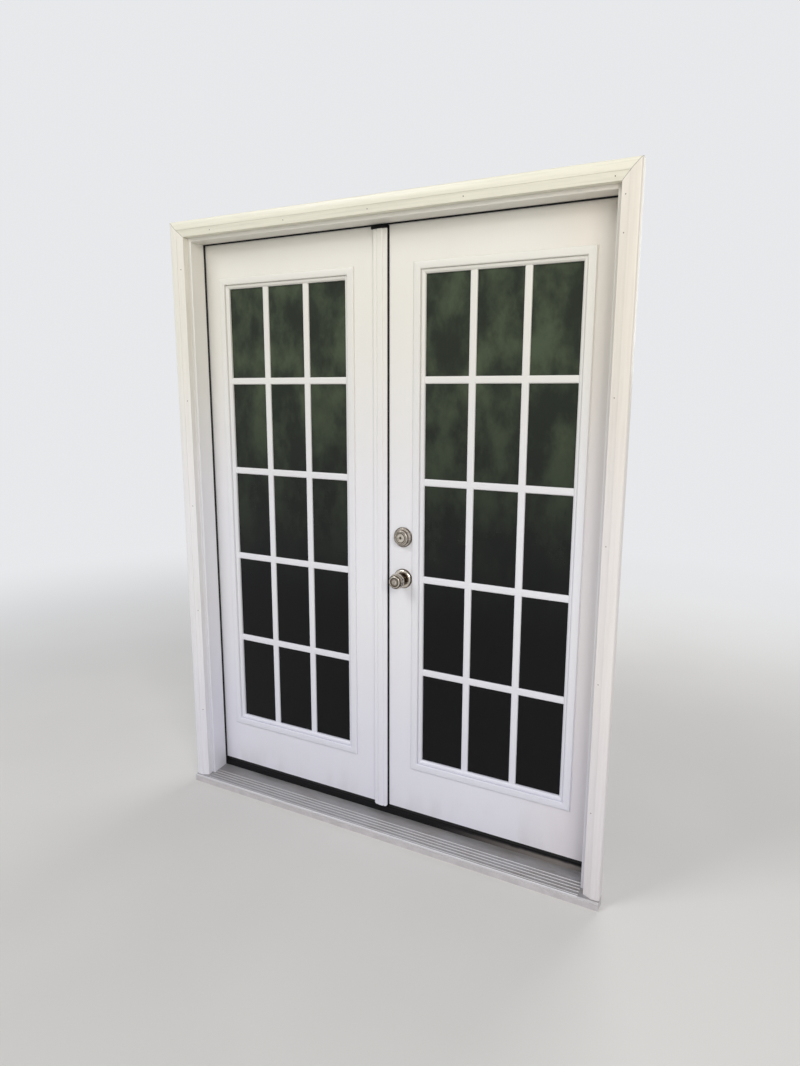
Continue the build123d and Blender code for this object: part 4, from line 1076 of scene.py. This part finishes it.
class DOORS_OT_add_screw_caps(bpy.types.Operator):
    """Add the caps over the screws of the inner insert frames."""

    bl_idname = "doors.add_screw_caps"
    bl_label = "Insert frame screw caps"

    def execute(self, context):
        white = white_paint("cap_white", grain=0.00001)
        radius = COVER_RADIUS
        profile = ((0.0, 0.0007), (radius * 0.55, 0.0006), (radius * 0.86, 0.0003), (radius, -0.0002),
                   (radius, -0.001), (0.0, -0.001))
        for side, body in LEAVES.items():
            node = side + "_lite_frame_inner"
            a, b = low(node), high(node)
            first = a.z + COVER_INSET + COVER_MARGIN
            tall = b.z - a.z - 2 * COVER_INSET - 2 * COVER_MARGIN
            rows = [first + tall * n / (COVER_ROWS - 1) for n in range(COVER_ROWS)]
            spots = [(x, z) for x in (a.x + COVER_INSET, b.x - COVER_INSET) for z in rows]
            spots += [((a.x + b.x) / 2 + way * COVER_REACH, z)
                      for way in (-1, 1) for z in (a.z + COVER_INSET, b.z - COVER_INSET)]
            places = [seat(node, (x, BEHIND, z), OUTWARD) for x, z in spots]

            def make(maker, places=places):
                for place in places:
                    turned_disc(maker, facing(INWARD, place), profile)

            piece = new_piece(f"{side}_screw_caps", make, white, body)
            piece.data.shade_smooth()
        return {"FINISHED"}


class DOORS_OT_add_casing_nails(bpy.types.Operator):
    """Add the nail heads of the brick moulding."""

    bl_idname = "doors.add_casing_nails"
    bl_label = "Casing nails"

    def execute(self, context):
        steel = plain_moulding("nail_steel", (0.20, 0.15, 0.11), 0.6, grain=0.0001)
        radius = NAIL_RADIUS
        profile = ((0.0, 0.0001), (radius * 0.8, 0.0001), (radius, -0.0001), (radius, -0.001),
                   (0.0, -0.001))
        seats = []
        for name, spots in NAILS.items():
            for spot in spots:
                x = spot if name == "head" else WAYS[name] * (CASING_CORNER.x + NAIL_INSET)
                z = CASING_CORNER.z + NAIL_INSET if name == "head" else spot
                seats.append(meeting(bpy.data.objects["moulding_" + name], (x, IN_FRONT, z), INWARD))

        def make(maker):
            for place, normal in seats:
                turned_disc(maker, facing(normal, place), profile, 20)

        new_piece("casing_nails", make, steel, "frame")
        return {"FINISHED"}


class DOORS_OT_add_threshold_screws(bpy.types.Operator):
    """Add the screws that set the height of the threshold's cap."""

    bl_idname = "doors.add_threshold_screws"
    bl_label = "Threshold screws"

    def execute(self, context):
        steel = satin_nickel("cap_screw_steel", 0.4)
        depth = middle("bolt_keepers").y
        places = [seat("threshold_cap", (x, depth, ABOVE_SILL), -UPWARD) for x in THRESHOLD_SCREWS]
        screws("threshold_cap_screws", places, UPWARD, THRESHOLD_SCREW_RADIUS, THRESHOLD_SCREW_PROUD,
               "frame", steel)
        return {"FINISHED"}


class DOORS_OT_set_stage(bpy.types.Operator):
    """Lay the floor, hang the lamps and place the camera."""

    bl_idname = "doors.set_stage"
    bl_label = "Floor, light and camera"

    def execute(self, context):
        lay_floor()
        light_world(context.scene)
        for lamp in LAMPS:
            hang_lamp(*lamp)
        place_camera(context.scene)
        context.scene.view_settings.view_transform = "Standard"
        return {"FINISHED"}


# Panel and registration


class DOORS_PT_dresser(bpy.types.Panel):
    """The steps and their settings, in the sidebar of the 3D view."""

    bl_label = "Double Doors"
    bl_idname = "DOORS_PT_dresser"
    bl_space_type = "VIEW_3D"
    bl_region_type = "UI"
    bl_category = "Doors"

    def draw(self, context):
        for group in ("paint", "glass", "metal", "stage"):
            box = self.layout.box()
            owner = getattr(context.scene.double_doors, group)
            for key in owner.__annotations__:
                box.prop(owner, key)
        for step in STEPS:
            self.layout.operator(step.bl_idname)


STEPS = (
    DOORS_OT_set_stage,
    DOORS_OT_finish_frame,
    DOORS_OT_fit_mouldings,
    DOORS_OT_finish_leaves,
    DOORS_OT_finish_glazing,
    DOORS_OT_finish_sill,
    DOORS_OT_finish_seals,
    DOORS_OT_finish_metal,
    DOORS_OT_add_hinge_screws,
    DOORS_OT_add_plate_screws,
    DOORS_OT_add_screw_caps,
    DOORS_OT_add_casing_nails,
    DOORS_OT_add_threshold_screws,
)
GROUPS = (PaintSettings, GlassSettings, MetalSettings, StageSettings, DoorSettings)


def register():
    """Make the settings, the steps and the panel known to Blender."""
    for item in (*GROUPS, *STEPS, DOORS_PT_dresser):
        bpy.utils.register_class(item)
    bpy.types.Scene.double_doors = PointerProperty(type=DoorSettings)


def unregister():
    """Take them out again."""
    del bpy.types.Scene.double_doors
    for item in reversed((*GROUPS, *STEPS, DOORS_PT_dresser)):
        bpy.utils.unregister_class(item)


def main():
    """Take every step in order."""
    register()
    for step in STEPS:
        category, name = step.bl_idname.split(".")
        getattr(getattr(bpy.ops, category), name)()


if __name__ == "__main__":
    main()
